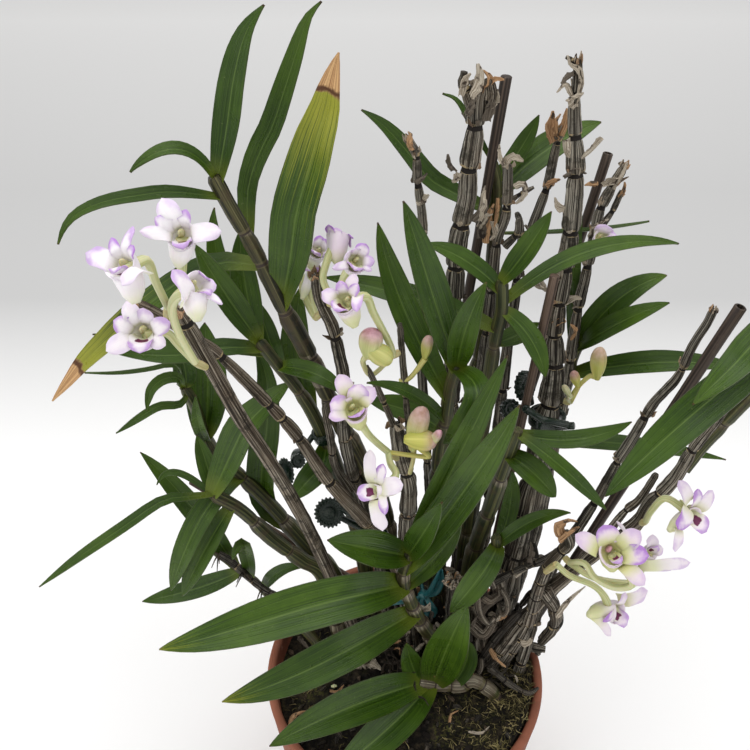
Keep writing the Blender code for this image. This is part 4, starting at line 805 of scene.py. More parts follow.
live_stem, tree, shader = paint_of("live_stem", 0.5, 0.4)
band, green, tone, fuller = tints_of(tree)
streaks = fibre_mask(tree, 4.2, 0.12)
olive = shades(tree, streaks, (0.41, 0.005, 0.005, 0.002), (0.48, 0.022, 0.021, 0.006),
               (0.56, 0.066, 0.060, 0.017), (0.66, 0.16, 0.145, 0.06))
fresh = shades(tree, streaks, (0.38, 0.020, 0.040, 0.008), (0.5, 0.055, 0.09, 0.016),
               (0.65, 0.15, 0.19, 0.05))
colour = mixed(tree, green, olive, fresh)
husk = shades(tree, streaks, (0.38, 0.04, 0.030, 0.022), (0.50, 0.17, 0.14, 0.10), (0.64, 0.42, 0.37, 0.28))
patches = plus(tree, fuller, swing(tree, cloud(tree, 90.0), 0.9))
colour = mixed(tree, times(tree, rising(tree, patches, 0.86, 1.08), 0.8), colour, husk)
browned = times(tree, patch(tree, 0.47, 0.62, 170.0, 4.0, 0.65), 0.55)
colour = mixed(tree, browned, colour, (0.062, 0.040, 0.018, 1))
lip = times(tree, rising(tree, band, 0.25, 0.45), 0.35)
colour = mixed(tree, lip, colour, (0.20, 0.16, 0.085, 1))
colour = mixed(tree, rising(tree, band, 0.62, 0.85), colour, (0.035, 0.022, 0.016, 1))
tree.links.new(colour, shader.inputs["Base Color"])
bumped(tree, shader, streaks, 0.5, 0.0004)
STEM, LEAF = 0, 1


LEAF_BASE, LEAF_FOLD, LEAF_RIPPLE = 0.42, 0.36, 0.5
SKYWARD = Vector((0.0, -0.55, 0.83))


def add_leaf(growth, root, middle, tip, width, roll, age, tone, rows=18, count=11):
    """Arched blade from its root through its middle, one point or several, to its tip,
    folded along the midrib."""
    if isinstance(middle[0], tuple):
        way = smooth_route([root, *middle, tip], 8)
    else:
        bend = 2 * Vector(middle) - 0.5 * (root + Vector(tip))
        way = [root * (1 - f) ** 2 + bend * 2 * f * (1 - f) + Vector(tip) * f * f
               for f in [i / 30 for i in range(31)]]
    turn = radians(roll)
    phase = between(0, 6.28)
    sheet = []
    shares = [i / (rows - 1) for i in range(rows)]
    shares = [1 - (1 - f) ** 1.25 if f > 0.5 else f * (1 - 0.5 ** 1.25) / 0.5 for f in shares]
    spine = along(way, shares)
    for i, f in enumerate(shares):
        centre = spine[i]
        run = (spine[min(i + 1, rows - 1)] - spine[max(i - 1, 0)]).normalized()
        flat = run.cross(SKYWARD).normalized()
        rise = flat.cross(run)
        side = flat * cos(turn) + rise * sin(turn)
        up = rise * cos(turn) - flat * sin(turn)
        if f < 0.46:
            share = LEAF_BASE + (1 - LEAF_BASE) * sin(pi / 2 * min(f / 0.44, 1)) ** 0.85
        else:
            share = max(1 - ((f - 0.46) / 0.54) ** 2.1, 0.0) ** 0.84
        half = max(width / 2 * share, 0.12)
        row = []
        for k in range(count):
            s = 2 * k / (count - 1) - 1
            lift = half * (LEAF_FOLD * abs(s) ** 1.08 - 0.03 * exp(-(s * 6) ** 2))
            lift += LEAF_RIPPLE * half * 0.10 * abs(s) ** 3 * sin(phase + f * 13 + 2.2 * (s > 0))
            row.append(centre + side * half * s + up * (lift + 0.35))
        sheet.append(row)
    add_sheet(growth, sheet, 0.75, (age, 0.5, tone, 0), LEAF)


def grow_leafy_cane(name, widths, route, leaves, green=0.25, ages=(), internode=30, nodes=None,
                    husky=0.0, husks=()):
    """One living cane: its stem, the thin sheath lips at its nodes, and its leaves."""
    growth = new_growth()
    widths = (widths[0], widths[0] * 1.05, (widths[0] + widths[1]) * 0.58, widths[1] * 1.2)
    curve = add_stem(growth, widths, from_foot(route), internode, STEM, sides=22, ribs=0.03, tan=green,
                     neck=1.18, band=0.8, step=2.0, nodes=nodes, gnarl=0.04, club=1.6)[0]
    for k, ((band, tan, tone, place), corner) in enumerate(zip(growth["tints"], growth["corners"])):
        wrapped = 1.1 if any(low < corner[2] < high for low, high in husks) else husky
        growth["tints"][k] = (band, tan, tone, place + wrapped)
    aged = dict(ages)
    for number, (at, middle, tip, width, *roll) in enumerate(leaves):
        root = along(curve, [at])[0]
        age = aged.get(number, between(-0.2, 0.06))
        add_leaf(growth, root, middle, tip, width * 1.04, roll[0] if roll else 0, age, between(0.2, 0.8))
    return finish_piece(name + "_growth", growth, (live_stem, leaf_green), name, 60)


grow_leafy_cane("leafy_cane_upper_left", (9, 4), [
    (-9, 37), (-10, 26, 203), (-28, 20, 264), (-41, 15, 307), (-49, 13, 329), (-56, 12, 350),
    (-61, 12, 362), (-65, 11, 372), (-69, 10, 383)], [
    (1.0, (-78, 2, 395), (-92, -4, 390), 5),
    (0.97, ((-80.7, 0, 381.5), (-90.7, -3, 381.7), (-100.7, -6, 381), (-107.4, -8, 379.1),
            (-111.5, -10, 376.9), (-114.6, -11, 373.3)), (-117, -12, 369), 4.4, 10),
    (0.99, ((-63.8, 14, 396.3), (-59.9, 16, 412.7), (-55.2, 18, 425.7)), (-49, 20, 434), 9),
    (0.91, ((-60, 21, 372), (-55.2, 22, 385.1), (-49.8, 24, 394.6), (-45.8, 25, 404.5), (-41.3, 27, 415.9),
            (-36.8, 29, 427.2)), (-32, 30, 433), 8.2),
    (0.81, ((-44.9, 7, 353.3), (-41.5, 6, 371.6), (-36.5, 6, 386.8), (-33.1, 6, 397.9), (-30.4, 7, 405.7),
            (-28.6, 7, 413.7)), (-26, 8, 423), 15.5),
    (0.87, ((-71.8, 20, 345.2), (-85.4, 19, 339.8), (-107.5, 17, 323.9), (-120.7, 16, 312.1),
            (-129.7, 15.5, 303.9), (-137.9, 15, 294.9)), (-147, 14, 285), 9.6, 10)], green=0.0,
    ages=((4, 0.57), (5, 0.65)), husks=((292, 309),),
    nodes=(0.1, 0.22, 0.34, 0.46, 0.56, 0.64, 0.719, 0.8, 0.877, 0.922))
grow_leafy_cane("leafy_cane_left_inner", (8, 4), [
    (-19, 44), (-22, 38, 176), (-31, 30, 226), (-37, 24, 256), (-43, 22, 276), (-49, 20, 290),
    (-54, 18, 300), (-61, 18, 312)], [
    (1.0, (-71, 12, 338), (-78, 8, 359), 9.5), (1.0, (-65, 26, 331), (-66, 30, 353), 10),
    (0.99, (-75, 34, 330), (-76, 38, 359), 8),
    (0.98, ((-74, 14, 311), (-84.5, 12, 309.8), (-93.1, 8, 311.6), (-101.5, 7, 312.6)),
     (-113, 3, 316.3), 8),
    (0.93, (-39, 7, 304), (-26, 3, 297), 7.5), (0.96, (-106, 26, 307), (-128, 24, 311), 3.5),
    (0.7, ((-37.9, 14, 249.9), (-44.1, 6, 247.2)), (-51, 1, 241.3), 11),
    (0.8, ((-45.6, 30, 280), (-47.6, 30, 298.6), (-46.8, 31, 312.9)), (-44.6, 32, 328), 12),
    (0.92, ((-57.6, 28, 303), (-59.7, 30, 311.1)), (-63, 33, 322), 8)])
grow_leafy_cane("leafy_cane_left_back", (8, 4), [
    (-32, 34), (-37, 35, 153), (-52, 36, 178), (-70, 37, 208), (-80, 38, 221), (-87, 38, 230),
    (-93, 38, 242), (-95, 36, 262), (-96, 34, 271), (-98, 33, 278)], [
    (1.0, ((-98.9, 28, 286.5), (-103.5, 24, 288.5), (-107.7, 21, 286), (-109.6, 19, 281.5)),
        (-110.4, 17, 277.5), 4.6, 20), (1.0, (-97, 36, 281), (-98, 38, 293), 9.5),
    (0.98, ((-98.7, 26, 274.1), (-106.1, 22, 276.3), (-114.5, 19, 272.6)), (-125, 16, 266), 3.6, 40),
    (0.83, (-90.5, 44, 268), (-89, 50, 300), 18.5), (0.8, (-93, 30, 259), (-92, 28, 277), 5.5),
    (0.67, (-94.5, 17, 216), (-113, 6, 176), 11),
    (0.98, ((-97.5, 31, 288), (-100.5, 28.5, 293.2), (-109.2, 28, 291.5), (-117.8, 28, 290),
            (-126.4, 28, 289.2)), (-137, 28, 289), 2.2, 60),
    (0.46,
        ((-67.6, 38, 196.5), (-70.5, 39, 211.7), (-68.1, 40, 230.7), (-64.6, 41, 251.2), (-62.4, 38, 277)),
        (-65.5, 37, 297), 13.5)])
grow_leafy_cane("leafy_cane_left_low", (7.5, 5), [
    (-34, 20), (-42, 26, 163), (-52, 26, 175), (-65, 25, 191), (-78, 22, 214), (-89, 18, 228)], [
    (1.0, ((-79.7, 22, 246.9), (-71.8, 22, 263.4), (-63.4, 22, 274.1)), (-50, 23, 288), 14.5),
    (1.0, ((-99.2, 14, 230.4), (-109, 9, 232.8), (-124.5, 0, 226.5), (-142.8, -8, 216.9)), (-163, -14, 203),
        5), (0.91, (-95, 12, 198), (-108, 6, 172), 10.5), (0.99, (-91.5, 26, 239), (-95, 30, 253), 8),
    (0.99, (-104.8, 23, 237.2), (-114, 20, 232), 3.2, 30)])
grow_leafy_cane("shoot_left_rim", (5, 3), [(-45, 14), (-73, 36, 137), (-88, 42, 149), (-101, 44, 162)], [
    (0.83, (-109, 46, 193), (-129, 48, 227), 11), (0.79, (-111, 40, 136), (-141, 34, 132), 10.5),
    (0.72, (-81, 30, 181), (-86, 24, 177), 7.5), (0.63, (-63, 30, 162), (-50, 28, 167), 6.5)])
grow_leafy_cane("leafy_cane_centre", (8, 4), [
    (18, 19), (13, 12, 218), (12, 6, 260), (13, 2, 284), (14, 0, 304), (16, 0, 313)], [
    (0.99, (4, -6, 349), (-6, -8, 382), 11.5), (0.92, (-5, 8, 334), (-14, 8, 367), 10.5),
    (0.99, (17, -10, 337), (22, -12, 355), 9.5), (0.99, (21, -21, 313), (11, -15, 287), 9),
    (0.86, (-2, -10, 307), (-18, -14, 315), 5.5), (0.83, (-1, 12, 281), (-18, 14, 285), 10.5)])
grow_leafy_cane("leafy_cane_centre_back", (8, 3.6), [
    (29, 28), (31, 26, 229), (31, 17, 283), (31, 12, 315), (32, 10, 331), (31, 10, 343)], [
    (0.98, (18, 14, 349), (3, 16, 355), 7.5), (1.0, (38, 6, 358), (44, 4, 373), 8),
    (0.91, (0, 18, 331), (-34, 22, 338), 9.5), (0.95, (43, 6, 321), (50, 2, 306), 8),
    (0.88, (42, 18, 315), (49, 20, 319), 7.5), (0.96, (63, 21, 349), (101, 32, 347), 6.5)])
grow_leafy_cane("leafy_cane_back", (7, 3.6), [
    (19, 52), (29, 46, 261), (32, 43, 316), (32, 42, 344), (31, 42, 365), (28, 42, 376)], [
    (0.92, ((16, 46, 361), (6.1, 47, 366.4), (-2.7, 49, 376.5), (-11.3, 50, 385.7)), (-20, 51, 392), 8),
    (1.0, ((20, 42, 389), (14.2, 43, 397.6)), (9, 44, 400), 2.6),
    (0.97, (38.8, 46, 378), (45, 48, 391), 6.5), (0.95, (50, 52, 376), (71, 58, 385), 11.5),
    (0.89, (67, 47, 345), (96, 54, 346), 3, 40)])
grow_leafy_cane("leafy_cane_right_back", (7, 3.6), [
    (46, 35), (66, 42, 194), (68, 42, 240), (71, 42, 276), (71, 42, 286), (73, 42, 295)], [
    (0.96, (66, 43, 323), (62, 34, 361), 5.5), (0.99, (83, 34, 321), (101, 36, 331), 11),
    (0.98, (83, 24, 317), (98, 20, 328), 9), (0.91, (100, 24, 297), (131, 18, 299), 9.5)])
grow_leafy_cane("leafy_cane_front", (7, 4), [
    (20, 1), (13, -6, 154), (6, -10, 174), (0, -14, 196), (-3, -17, 214), (-1, -20, 232)], [
    (0.98, (16, -24, 289), (29, -26, 335), 10), (0.9, (19, -30, 279), (33, -36, 322), 13.5),
    (0.79, (10, -14, 221), (20, -18, 246), 9.5), (0.98, (4, -34, 260), (9, -40, 281), 10),
    (0.98, (-19, -30, 246), (-33, -36, 257), 14),
    (0.8, ((-18.4, -33, 222), (-38.4, -38, 221), (-63.2, -46, 219.6), (-83.2, -53, 219.2)), (-98, -58, 220),
        17.6),
    (0.61, ((-24.2, -36, 190.5), (-46.6, -46, 186.2), (-65.3, -54, 185.4)), (-77, -60, 188), 15.8)],
    internode=14, husky=0.25, ages=((5, 0.16), (6, 0.22)))
grow_leafy_cane("creeping_shoot", (6.4, 5), [
    (45, -16), (34, -13, 131), (29, -13, 127), (22, -13, 127), (14, -13, 128), (6, -15, 133)], [
    (0.94, (-26, -42, 155), (-60, -62, 158), 16.5), (0.87, (-9, -40, 134), (-35, -62, 134), 17),
    (0.99, (2, -14, 149), (0, -12, 160), 10.5), (0.85, (19, -18, 167), (26, -18, 196), 18.5),
    (0.7, (30, -9, 142), (29, -7, 155), 10)], internode=9, husky=0.8)
grow_leafy_cane("small_shoot_right", (5, 4), [(36.4, 2.9, 196.3), (39, -1, 213), (38, -3, 223)], [
    (0.74, (33, -12, 212), (19, -16, 188), 11), (0.74, (52, -6, 236), (66, -10, 245), 6.5),
    (0.74, (45, 10, 225), (44, 10, 250), 7.5)])
grow_leafy_cane("leafy_cane_right_centre", (8, 4), [
    (29, 17), (32, 17, 185), (36, 4, 238), (38, -6, 273), (40, -8, 288)], [
    (0.92, (46, -14, 272), (56, -18, 262), 10), (0.99, (55, -18, 279), (74, -26, 263), 6),
    (0.99, (63, -8, 283), (83, -8, 292), 7), (0.97, (89, 14, 262), (138, 16, 251), 7)])
grow_leafy_cane("leafy_cane_far_right", (5, 4), [
    (107, -11, 270), (114, -7, 281), (121.5, -8, 298), (129, -9, 318), (129, -10, 340)], [
    (0.85, (92, -34, 316), (67, -40, 284), 12.8), (0.93, (113, -14, 350), (107, -16, 365), 8),
    (0.9, ((124.2, -14, 343.5), (111, -22, 335.7), (102.6, -30, 333.3)), (89.6, -37.5, 323.4), 11),
    (0.92, (147, 10, 335), (165, 20, 334), 9)])


# ---------------------------------------------------------------- stakes
# Thin round sticks that hold the canes up: dark split bamboo and one reddish-brown stick,
# cut square at the top, some hollow there, pushed into the mix by hand.
def stake_paint(name, furrow, body, ridge):
    made, tree, shader = paint_of(name, 0.6, 0.35)
    streaks = fibre_mask(tree, 2.2, 0.10)
    colour = shades(tree, streaks, (0.38, *furrow), (0.5, *body), (0.66, *ridge))
    wear = patch(tree, 0.56, 0.72, 300.0, 4.0, 0.7)
    colour = mixed(tree, times(tree, wear, 0.4), colour, (*ridge, 1))
    tree.links.new(colour, shader.inputs["Base Color"])
    bumped(tree, shader, streaks, 0.5, 0.0003)
    return made


dark_stake = stake_paint("dark_stake", (0.010, 0.007, 0.005), (0.034, 0.022, 0.016), (0.11, 0.078, 0.058))
red_stake = stake_paint("red_brown_stake", (0.024, 0.014, 0.009), (0.085, 0.052, 0.035),
                        (0.18, 0.125, 0.092))


def start_shaping():
    bpy.ops.object.mode_set(mode='EDIT')
    bpy.ops.mesh.select_all(action='SELECT')


def end_shaping():
    """Turns every face outwards and leaves edit mode."""
    bpy.ops.mesh.select_all(action='SELECT')
    bpy.ops.mesh.normals_make_consistent(inside=False)
    bpy.ops.object.mode_set(mode='OBJECT')


def set_stake(name, diameter, foot, top, paint, hollow):
    """Round stick from foot to top in short lengths, its top edge eased or bored out."""
    foot = Vector(foot) * MM
    run = Vector(top) * MM - foot
    lengths = 24
    bpy.ops.mesh.primitive_circle_add(vertices=20, radius=diameter / 2 * MM, fill_type='NGON')
    made = bpy.context.object
    made.name = name + "_stick"
    start_shaping()
    for length in range(lengths):
        shift = (between(-1, 1) * 0.00006, between(-1, 1) * 0.00006, run.length / lengths)
        bpy.ops.mesh.extrude_region_move(TRANSFORM_OT_translate={"value": shift})
    bpy.ops.mesh.inset(thickness=0.00022)
    bpy.ops.transform.translate(value=(0, 0, 0.0002))
    if hollow:
        bpy.ops.mesh.inset(thickness=diameter * 0.12 * MM)
        bpy.ops.mesh.extrude_region_move(TRANSFORM_OT_translate={"value": (0, 0, -0.004)})
    end_shaping()
    marks = made.data.uv_layers.new(name="grain")
    for face in made.data.polygons:
        middle = atan2(face.center.y, face.center.x)
        for loop in face.loop_indices:
            corner = made.data.vertices[made.data.loops[loop].vertex_index].co
            turn = atan2(corner.y, corner.x) - middle
            turn = middle + (turn + pi) % (2 * pi) - pi
            marks.data[loop].uv = (turn / (2 * pi), corner.z * 100)
    made.rotation_euler = run.to_track_quat('Z', 'Y').to_euler()
    made.location = foot
    settle()
    made.data.materials.append(paint)
    bpy.ops.object.shade_smooth_by_angle(angle=radians(50))
    made.select_set(False)
    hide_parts(name)
    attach(made, "root")


for name, diameter, foot, top, paint, slot, hollow in (
        ("stake_back_tall", 4, (8, 55, FOOT), (30, 36, 408), dark_stake, "dark_stake", False),
        ("stake_back_right", 4, (33, 49, FOOT), (75, 54, 374), dark_stake, "dark_stake", True),
        ("stake_left_low", 4, (-6, 54, FOOT), (-103, 36, 219), red_stake, "red_brown_stake", True),
        ("stake_brown_front", 3.6, (38, 24, FOOT), (50, 10, 345), red_stake, "red_brown_stake", False),
        ("stake_right", 4.4, (57, 16, FOOT), (111, -8, 343), dark_stake, "red_brown_stake", True)):
    set_stake(name, diameter, foot, top, paint, hollow)


# ---------------------------------------------------------------- flower sprays
# Small waxy blossoms on pale curved stalks: three sepals and two broader petals round a
# rolled lip with a maroon throat, a short column over it, and a rounded chin behind.
blossom, tree, shader = paint_of("blossom", 0.42, 0.35)
shader.inputs["Subsurface Weight"].default_value = 0.25
shader.inputs["Subsurface Radius"].default_value = (1.0, 0.8, 0.9)
shader.inputs["Subsurface Scale"].default_value = 0.0015
lilac, lip, tone, under = tints_of(tree)
grain = put(tree, "ShaderNodeUVMap", uv_map="grain").outputs[0]
parts = put(tree, "ShaderNodeSeparateXYZ", {0: grain})
down = parts.outputs["Y"]
off_rib = maths(tree, 'ABSOLUTE', maths(tree, 'SUBTRACT', parts.outputs["X"], 0.5))
veins = lines_on(tree, 22.0, 1.2)
clouds = cloud(tree, 170.0, 3.0)
hazy = swing(tree, clouds, 0.25)
sunk = plus(tree, maths(tree, 'SUBTRACT', down, times(tree, tone, 0.45)), hazy)
greenish = mixed(tree, tone, (0.80, 0.80, 0.62, 1), (0.60, 0.61, 0.27, 1))
pale = mixed(tree, tone, (0.95, 0.91, 0.94, 1), (0.82, 0.70, 0.78, 1))
colour = mixed(tree, rising(tree, sunk, -0.12, 0.34), greenish, pale)
reach = plus(tree, down, times(tree, maths(tree, 'POWER', off_rib, 2.0), 1.6))
reach = plus(tree, reach, swing(tree, clouds, 1.1))
blush = times(tree, rising(tree, reach, 0.64, 1.08), lilac)
colour = mixed(tree, blush, colour, (0.42, 0.21, 0.60, 1))
lines = times(tree, rising(tree, veins, 0.50, 0.66), 0.14)
colour = mixed(tree, lines, colour, (0.70, 0.52, 0.72, 1))
spot = times(tree, rising(tree, off_rib, 0.36, 0.20), rising(tree, down, 0.10, 0.26))
spot = times(tree, spot, rising(tree, down, 0.64, 0.46))
flecks = maths(tree, 'SUBTRACT', cloud(tree, 620.0, 3.0), 0.5)
ragged = plus(tree, spot, times(tree, flecks, 1.7))
colour = mixed(tree, times(tree, rising(tree, ragged, 0.30, 0.72), lip), colour,
               (0.14, 0.012, 0.07, 1))
tree.links.new(colour, shader.inputs["Base Color"])
bumped(tree, shader, veins, 0.25, 0.0002)

stalk_green, tree, shader = paint_of("flower_stalk", 0.45, 0.4)
shader.inputs["Subsurface Weight"].default_value = 0.15
shader.inputs["Subsurface Scale"].default_value = 0.001
pink, yellow, tone, under = tints_of(tree)
streaks = fibre_mask(tree, 1.6, 0.12)
base = shades(tree, streaks, (0.36, 0.43, 0.46, 0.20), (0.60, 0.67, 0.68, 0.44))
sunny = shades(tree, streaks, (0.36, 0.36, 0.37, 0.06), (0.60, 0.62, 0.58, 0.15))
colour = mixed(tree, yellow, base, sunny)
rosy = shades(tree, cloud(tree, 260.0, 3.0), (0.35, 0.36, 0.14, 0.17), (0.65, 0.66, 0.40, 0.48))
colour = mixed(tree, pink, colour, rosy)
tree.links.new(colour, shader.inputs["Base Color"])
bumped(tree, shader, streaks, 0.25, 0.0002)
PETAL, STALK = 0, 1


def add_petal(growth, way, out, away, width, tint, base=0.8, cup=0.28, frill=0.1):
    """Wavy petal along a way, blunt at its tip; out is where its blossom faces."""
    rows, count = 14, 9
    curve = smooth_route(way, 8)
    phase = between(0, 6.28)
    lean = between(-0.25, 0.25)
    across = out.cross(away).normalized()
    spine = along(curve, [i / (rows - 1) for i in range(rows)])
    sheet = []
    for i, centre in enumerate(spine):
        f = i / (rows - 1)
        run = (spine[min(i + 1, rows - 1)] - spine[max(i - 1, 0)]).normalized()
        up = across.cross(run).normalized()
        if f < 0.6:
            share = base + (1 - base) * sin(pi / 2 * f / 0.6)
        else:
            share = max(1 - ((f - 0.6) / 0.4) ** 2.3, 0) ** 0.62
        half = max(width / 2 * share, 0.12)
        row = []
        for k in range(count):
            s = 2 * k / (count - 1) - 1
            lift = half * cup * s * s * (1 - 0.7 * f) - half * 0.22 * f * f * s * s
            lift += half * frill * (0.4 + f) * abs(s) ** 2.5 * sin(phase + f * 11 + 2.1 * (s > 0))
            row.append(centre + across * half * (s + lean * f * (1 - s * s)) - up * lift)
        sheet.append(row)
    add_sheet(growth, sheet, 0.5, tint, PETAL)


def add_knob(growth, spine, radii, sides, kind, tint, lobes=0, deep=0.0):
    """Rounded closed body over a short spine."""
    curve = smooth_route(spine, 5)
    last = len(curve) - 1

    def reach(i, a):
        return width_at(radii, i / last) * (1 + deep * cos(lobes * a))

    add_skin(growth, hoops(curve, sides, reach), [i / last for i in range(last + 1)],
             [tint] * (last + 1), kind)


def add_flower(growth, mouth, facing, chin, wide, lip, petals, tone, red=False):
    """One blossom: a fluted cup from its chin to its open mouth, petals flaring from the rim,
    a trough-shaped lip and a short column. petals are (tip, width, lilac share[, root])."""
    mouth = Vector(mouth)
    chin = Vector(chin)
    out = Vector(facing).normalized()
    curve = smooth_route([chin, chin.lerp(mouth, 0.3) - out * wide * 0.10,
                          chin.lerp(mouth, 0.65) - out * wide * 0.24, mouth - out * wide * 0.20, mouth], 4)
    last = len(curve) - 1
    turned = between(0, 2)

    def reach(i, a):
        f = i / last
        return wide * width_at((0.13, 0.33, 0.42, 0.47, 0.50), f) * (1 + 0.05 * cos(3 * a + turned))

    rings = hoops(curve, 20, reach)
    steps = [i / last for i in range(last + 1)]
    for share, depth, step in ((0.9, 0.02, 0.8), (0.72, 0.26, 0.35), (0.3, 0.5, 0.1)):
        rings.append([mouth + (corner - mouth) * share - out * wide * depth for corner in rings[last]])
        steps.append(step)
    add_skin(growth, rings, steps, [(0.1, 0.0, tone, 0)] * len(rings), PETAL)
    lilac = between(0.85, 1.1)
    for tip, width, stain, *root in petals:
        tip = Vector(tip)
        away = tip - (Vector(root[0]) if root else mouth)
        away = (away - out * away.dot(out)).normalized()
        rim = Vector(root[0]) if root else mouth + away * wide * 0.44
        deep = rim - out * wide * 0.42 - away * wide * 0.10
        middle = rim.lerp(tip, 0.5) + out * (tip - rim).length * 0.10
        add_petal(growth, [deep, rim, middle, tip], out, away, width, (min(stain * lilac, 1), 0.0, tone, 0))
    tip = Vector(lip[0])
    away = tip - mouth
    away = (away - out * away.dot(out)).normalized()
    way = [mouth - out * wide * 0.45 + away * wide * 0.14, mouth - out * wide * 0.12 + away * wide * 0.28,
           mouth.lerp(tip, 0.7) + out * wide * 0.05, tip]
    add_petal(growth, way, out, away, lip[1], (0.8, 1.0, tone, 0), 0.75, 0.75, 0.14)
    kind, tint = (STALK, (1.0, 0.0, 0.5, 0)) if red else (STALK, (0.12, 0.3, 0.5, 0))
    add_knob(growth, [mouth - out * wide * f - away * wide * 0.17 for f in (0.5, 0.28, 0.1, 0.02)],
             [0.13 * wide, 0.12 * wide, 0.085 * wide, 0.03 * wide], 12, kind, tint, 2, 0.2)
    return mouth - out * wide * 0.36


def add_bud(growth, root, tip, width, pink, yellow):
    """Closed bud: three-sided, with a rounded heel and a blunt point."""
    root = Vector(root)
    tip = Vector(tip)
    spine = [root.lerp(tip, f) for f in (0.0, 0.25, 0.5, 0.75, 1.0)]
    curve = smooth_route(spine, 4)
    last = len(curve) - 1
    tints = [(pink * eased((i / last - 0.45) / 0.5), yellow, 0.5, 0) for i in range(last + 1)]

    def reach(i, a):
        f = i / last
        if f < 0.58:
            full = width / 2 * (0.36 + 0.64 * sin(pi / 2 * f / 0.58))
        else:
            full = width / 2 * max(1 - ((f - 0.58) / 0.42) ** 2.2, 0.01) ** 0.56
        return full * (1 + 0.05 * cos(3 * a))

    add_skin(growth, hoops(curve, 18, reach), [i / last for i in range(last + 1)], tints, STALK)


def grow_spray(name, base, joint, flowers=(), buds=(), bud_tints=((0.7, 0.6), (0.3, 0.9))):
    """Blossoms and buds on thin curved stalks from the joint of one short stem beside a cane."""
    growth = new_growth()
    add_knob(growth, [Vector(base), Vector(base).lerp(Vector(joint), 0.5), Vector(joint)],
             [1.3, 1.5, 1.25], 10, STALK, (0.25, 0.7, 0.5, 0))
    for blossom_shape, way in flowers:
        heel = add_flower(growth, *blossom_shape)
        add_knob(growth, [heel] + [Vector(p) for p in (*way, joint)], [1.9, 1.45, 1.3, 1.3], 10, STALK,
                 (0.0, 0.2, 0.5, 0))
    for (root, tip, width, way), (pink, yellow) in zip(buds, bud_tints):
        add_bud(growth, root, tip, width, pink, yellow)
        add_knob(growth, [Vector(p) for p in way], [1.2, 0.9, 0.9], 10, STALK, (0.1, yellow, 0.5, 0))
    return finish_piece(name + "_blossoms", growth, (blossom, stalk_green), name, 70)


grow_spray("flowers_left_upper", (-86.1, -11.9, 341.6), (-84, -16, 347.9), flowers=[
    (((-72, -31, 381.4), (0.1, -0.8, 0.7), (-74.3, -30.4, 370.7), 9.2, ((-70.8, -35.5, 379.2), 5.8), [
        ((-77.3, -25.6, 390.6), 6.8, 0.5), ((-78.9, -29.6, 386.6), 5.1, 1), ((-70.4, -26.9, 387.7), 4.1, 1),
        ((-83.1, -33.2, 383.7), 4.1, 0.5), ((-60.2, -29.9, 382.3), 5.8, 0.4)], 0.15), [
        (-74, -29, 368), (-77, -22, 357)]),
    (((-85, -50, 382), (-0.3, -0.5, 0.8), (-81.5, -53.1, 371.5), 9.5, ((-85, -54.3, 381.8), 5.0), [
        ((-81.5, -42.7, 389.7), 3.2, 0.7), ((-87.9, -43.6, 386.7), 3.4, 1), ((-80.8, -47.9, 386.7), 4.3, 1),
        ((-95.2, -45.4, 382.9), 6.1, 0.7), ((-82.4, -58, 379.8), 5.0, 0.3, (-79.4, -52.8, 381.7))], 0.15), [
        (-80, -42, 379), (-82.1, -30, 365)])])
grow_spray("flowers_left_lower", (-72.8, -22.7, 328.1), (-74.6, -28, 333.9), flowers=[
    (((-62.5, -56, 378.7), (0.7, -0.3, 0.6), (-63, -61.5, 371), 8.3, ((-59.3, -58, 377), 3.6), [
        ((-68.1, -59.6, 385.4), 5.8, 0.8, (-65, -59.9, 378.4)), ((-56.8, -57.3, 373.6), 2.5, 0.6),
        ((-58.5, -53.5, 377.8), 4.5, 0.6), ((-60.9, -53.9, 380.4), 4.9, 0.9)], 0.3), [
        (-70.2, -50, 372.3), (-75.1, -42, 362.8), (-76.5, -34, 348.8)]),
    (((-88.8, -33, 348.5), (0.1, -0.8, 0.7), (-89.2, -27.5, 341), 10.5, ((-88.6, -38.7, 345), 7.9), [
        ((-93.2, -28.1, 357.1), 5.8, 0.3), ((-87.8, -28.9, 355.3), 6.8, 0.6),
        ((-96.9, -32.4, 352.7), 6.3, 0.9), ((-79.5, -31.2, 351.5), 6.0, 0.8),
        ((-98.8, -38.7, 345.7), 6.5, 0.3), ((-80.8, -36.2, 345.9), 5.2, 0.3)], 0.3), [
        (-83.1, -26, 344.2), (-79.2, -27, 339.7)])])
grow_spray("flowers_middle_back_right", (-31.9, 4.8, 336.8), (-29.4, 3.4, 337.5), flowers=[
    (((-27.7, 8, 362.3), (0.1, 0.6, 0.8), (-28.8, 9.4, 350.8), 8.4, ((-25.4, 6.6, 363.5), 3.5), [
        ((-31.1, 7, 366.7), 4.9, 1), ((-28.2, 7, 365.7), 4.9, 0.5), ((-22.7, 7, 361.4), 4.0, 1),
        ((-23.7, 7, 358.2), 3.5, 0.6)], 0.85), [(-29.7, 6, 358.7), (-32, 4, 353.5), (-33.3, 4, 346.4)]),
    (((-21.3, -3, 357.8), (0.3, -0.8, 0.6), (-23.7, 1.3, 350.7), 8.2, ((-22.1, -6.7, 356.7), 6.5), [
        ((-18.3, 0.2, 363.1), 5.2, 1), ((-15.2, -2.4, 357.8), 4.3, 0.7), ((-24.7, -3.6, 361.4), 5.2, 0.3),
        ((-20.9, -1.3, 362.4), 3.9, 0.5), ((-29.2, -7.9, 358), 3.0, 0.5),
        ((-16.1, -4.7, 355.3), 2.2, 0.6)], 0.5), [(-25, -1, 352.3), (-27, 2, 346)])])
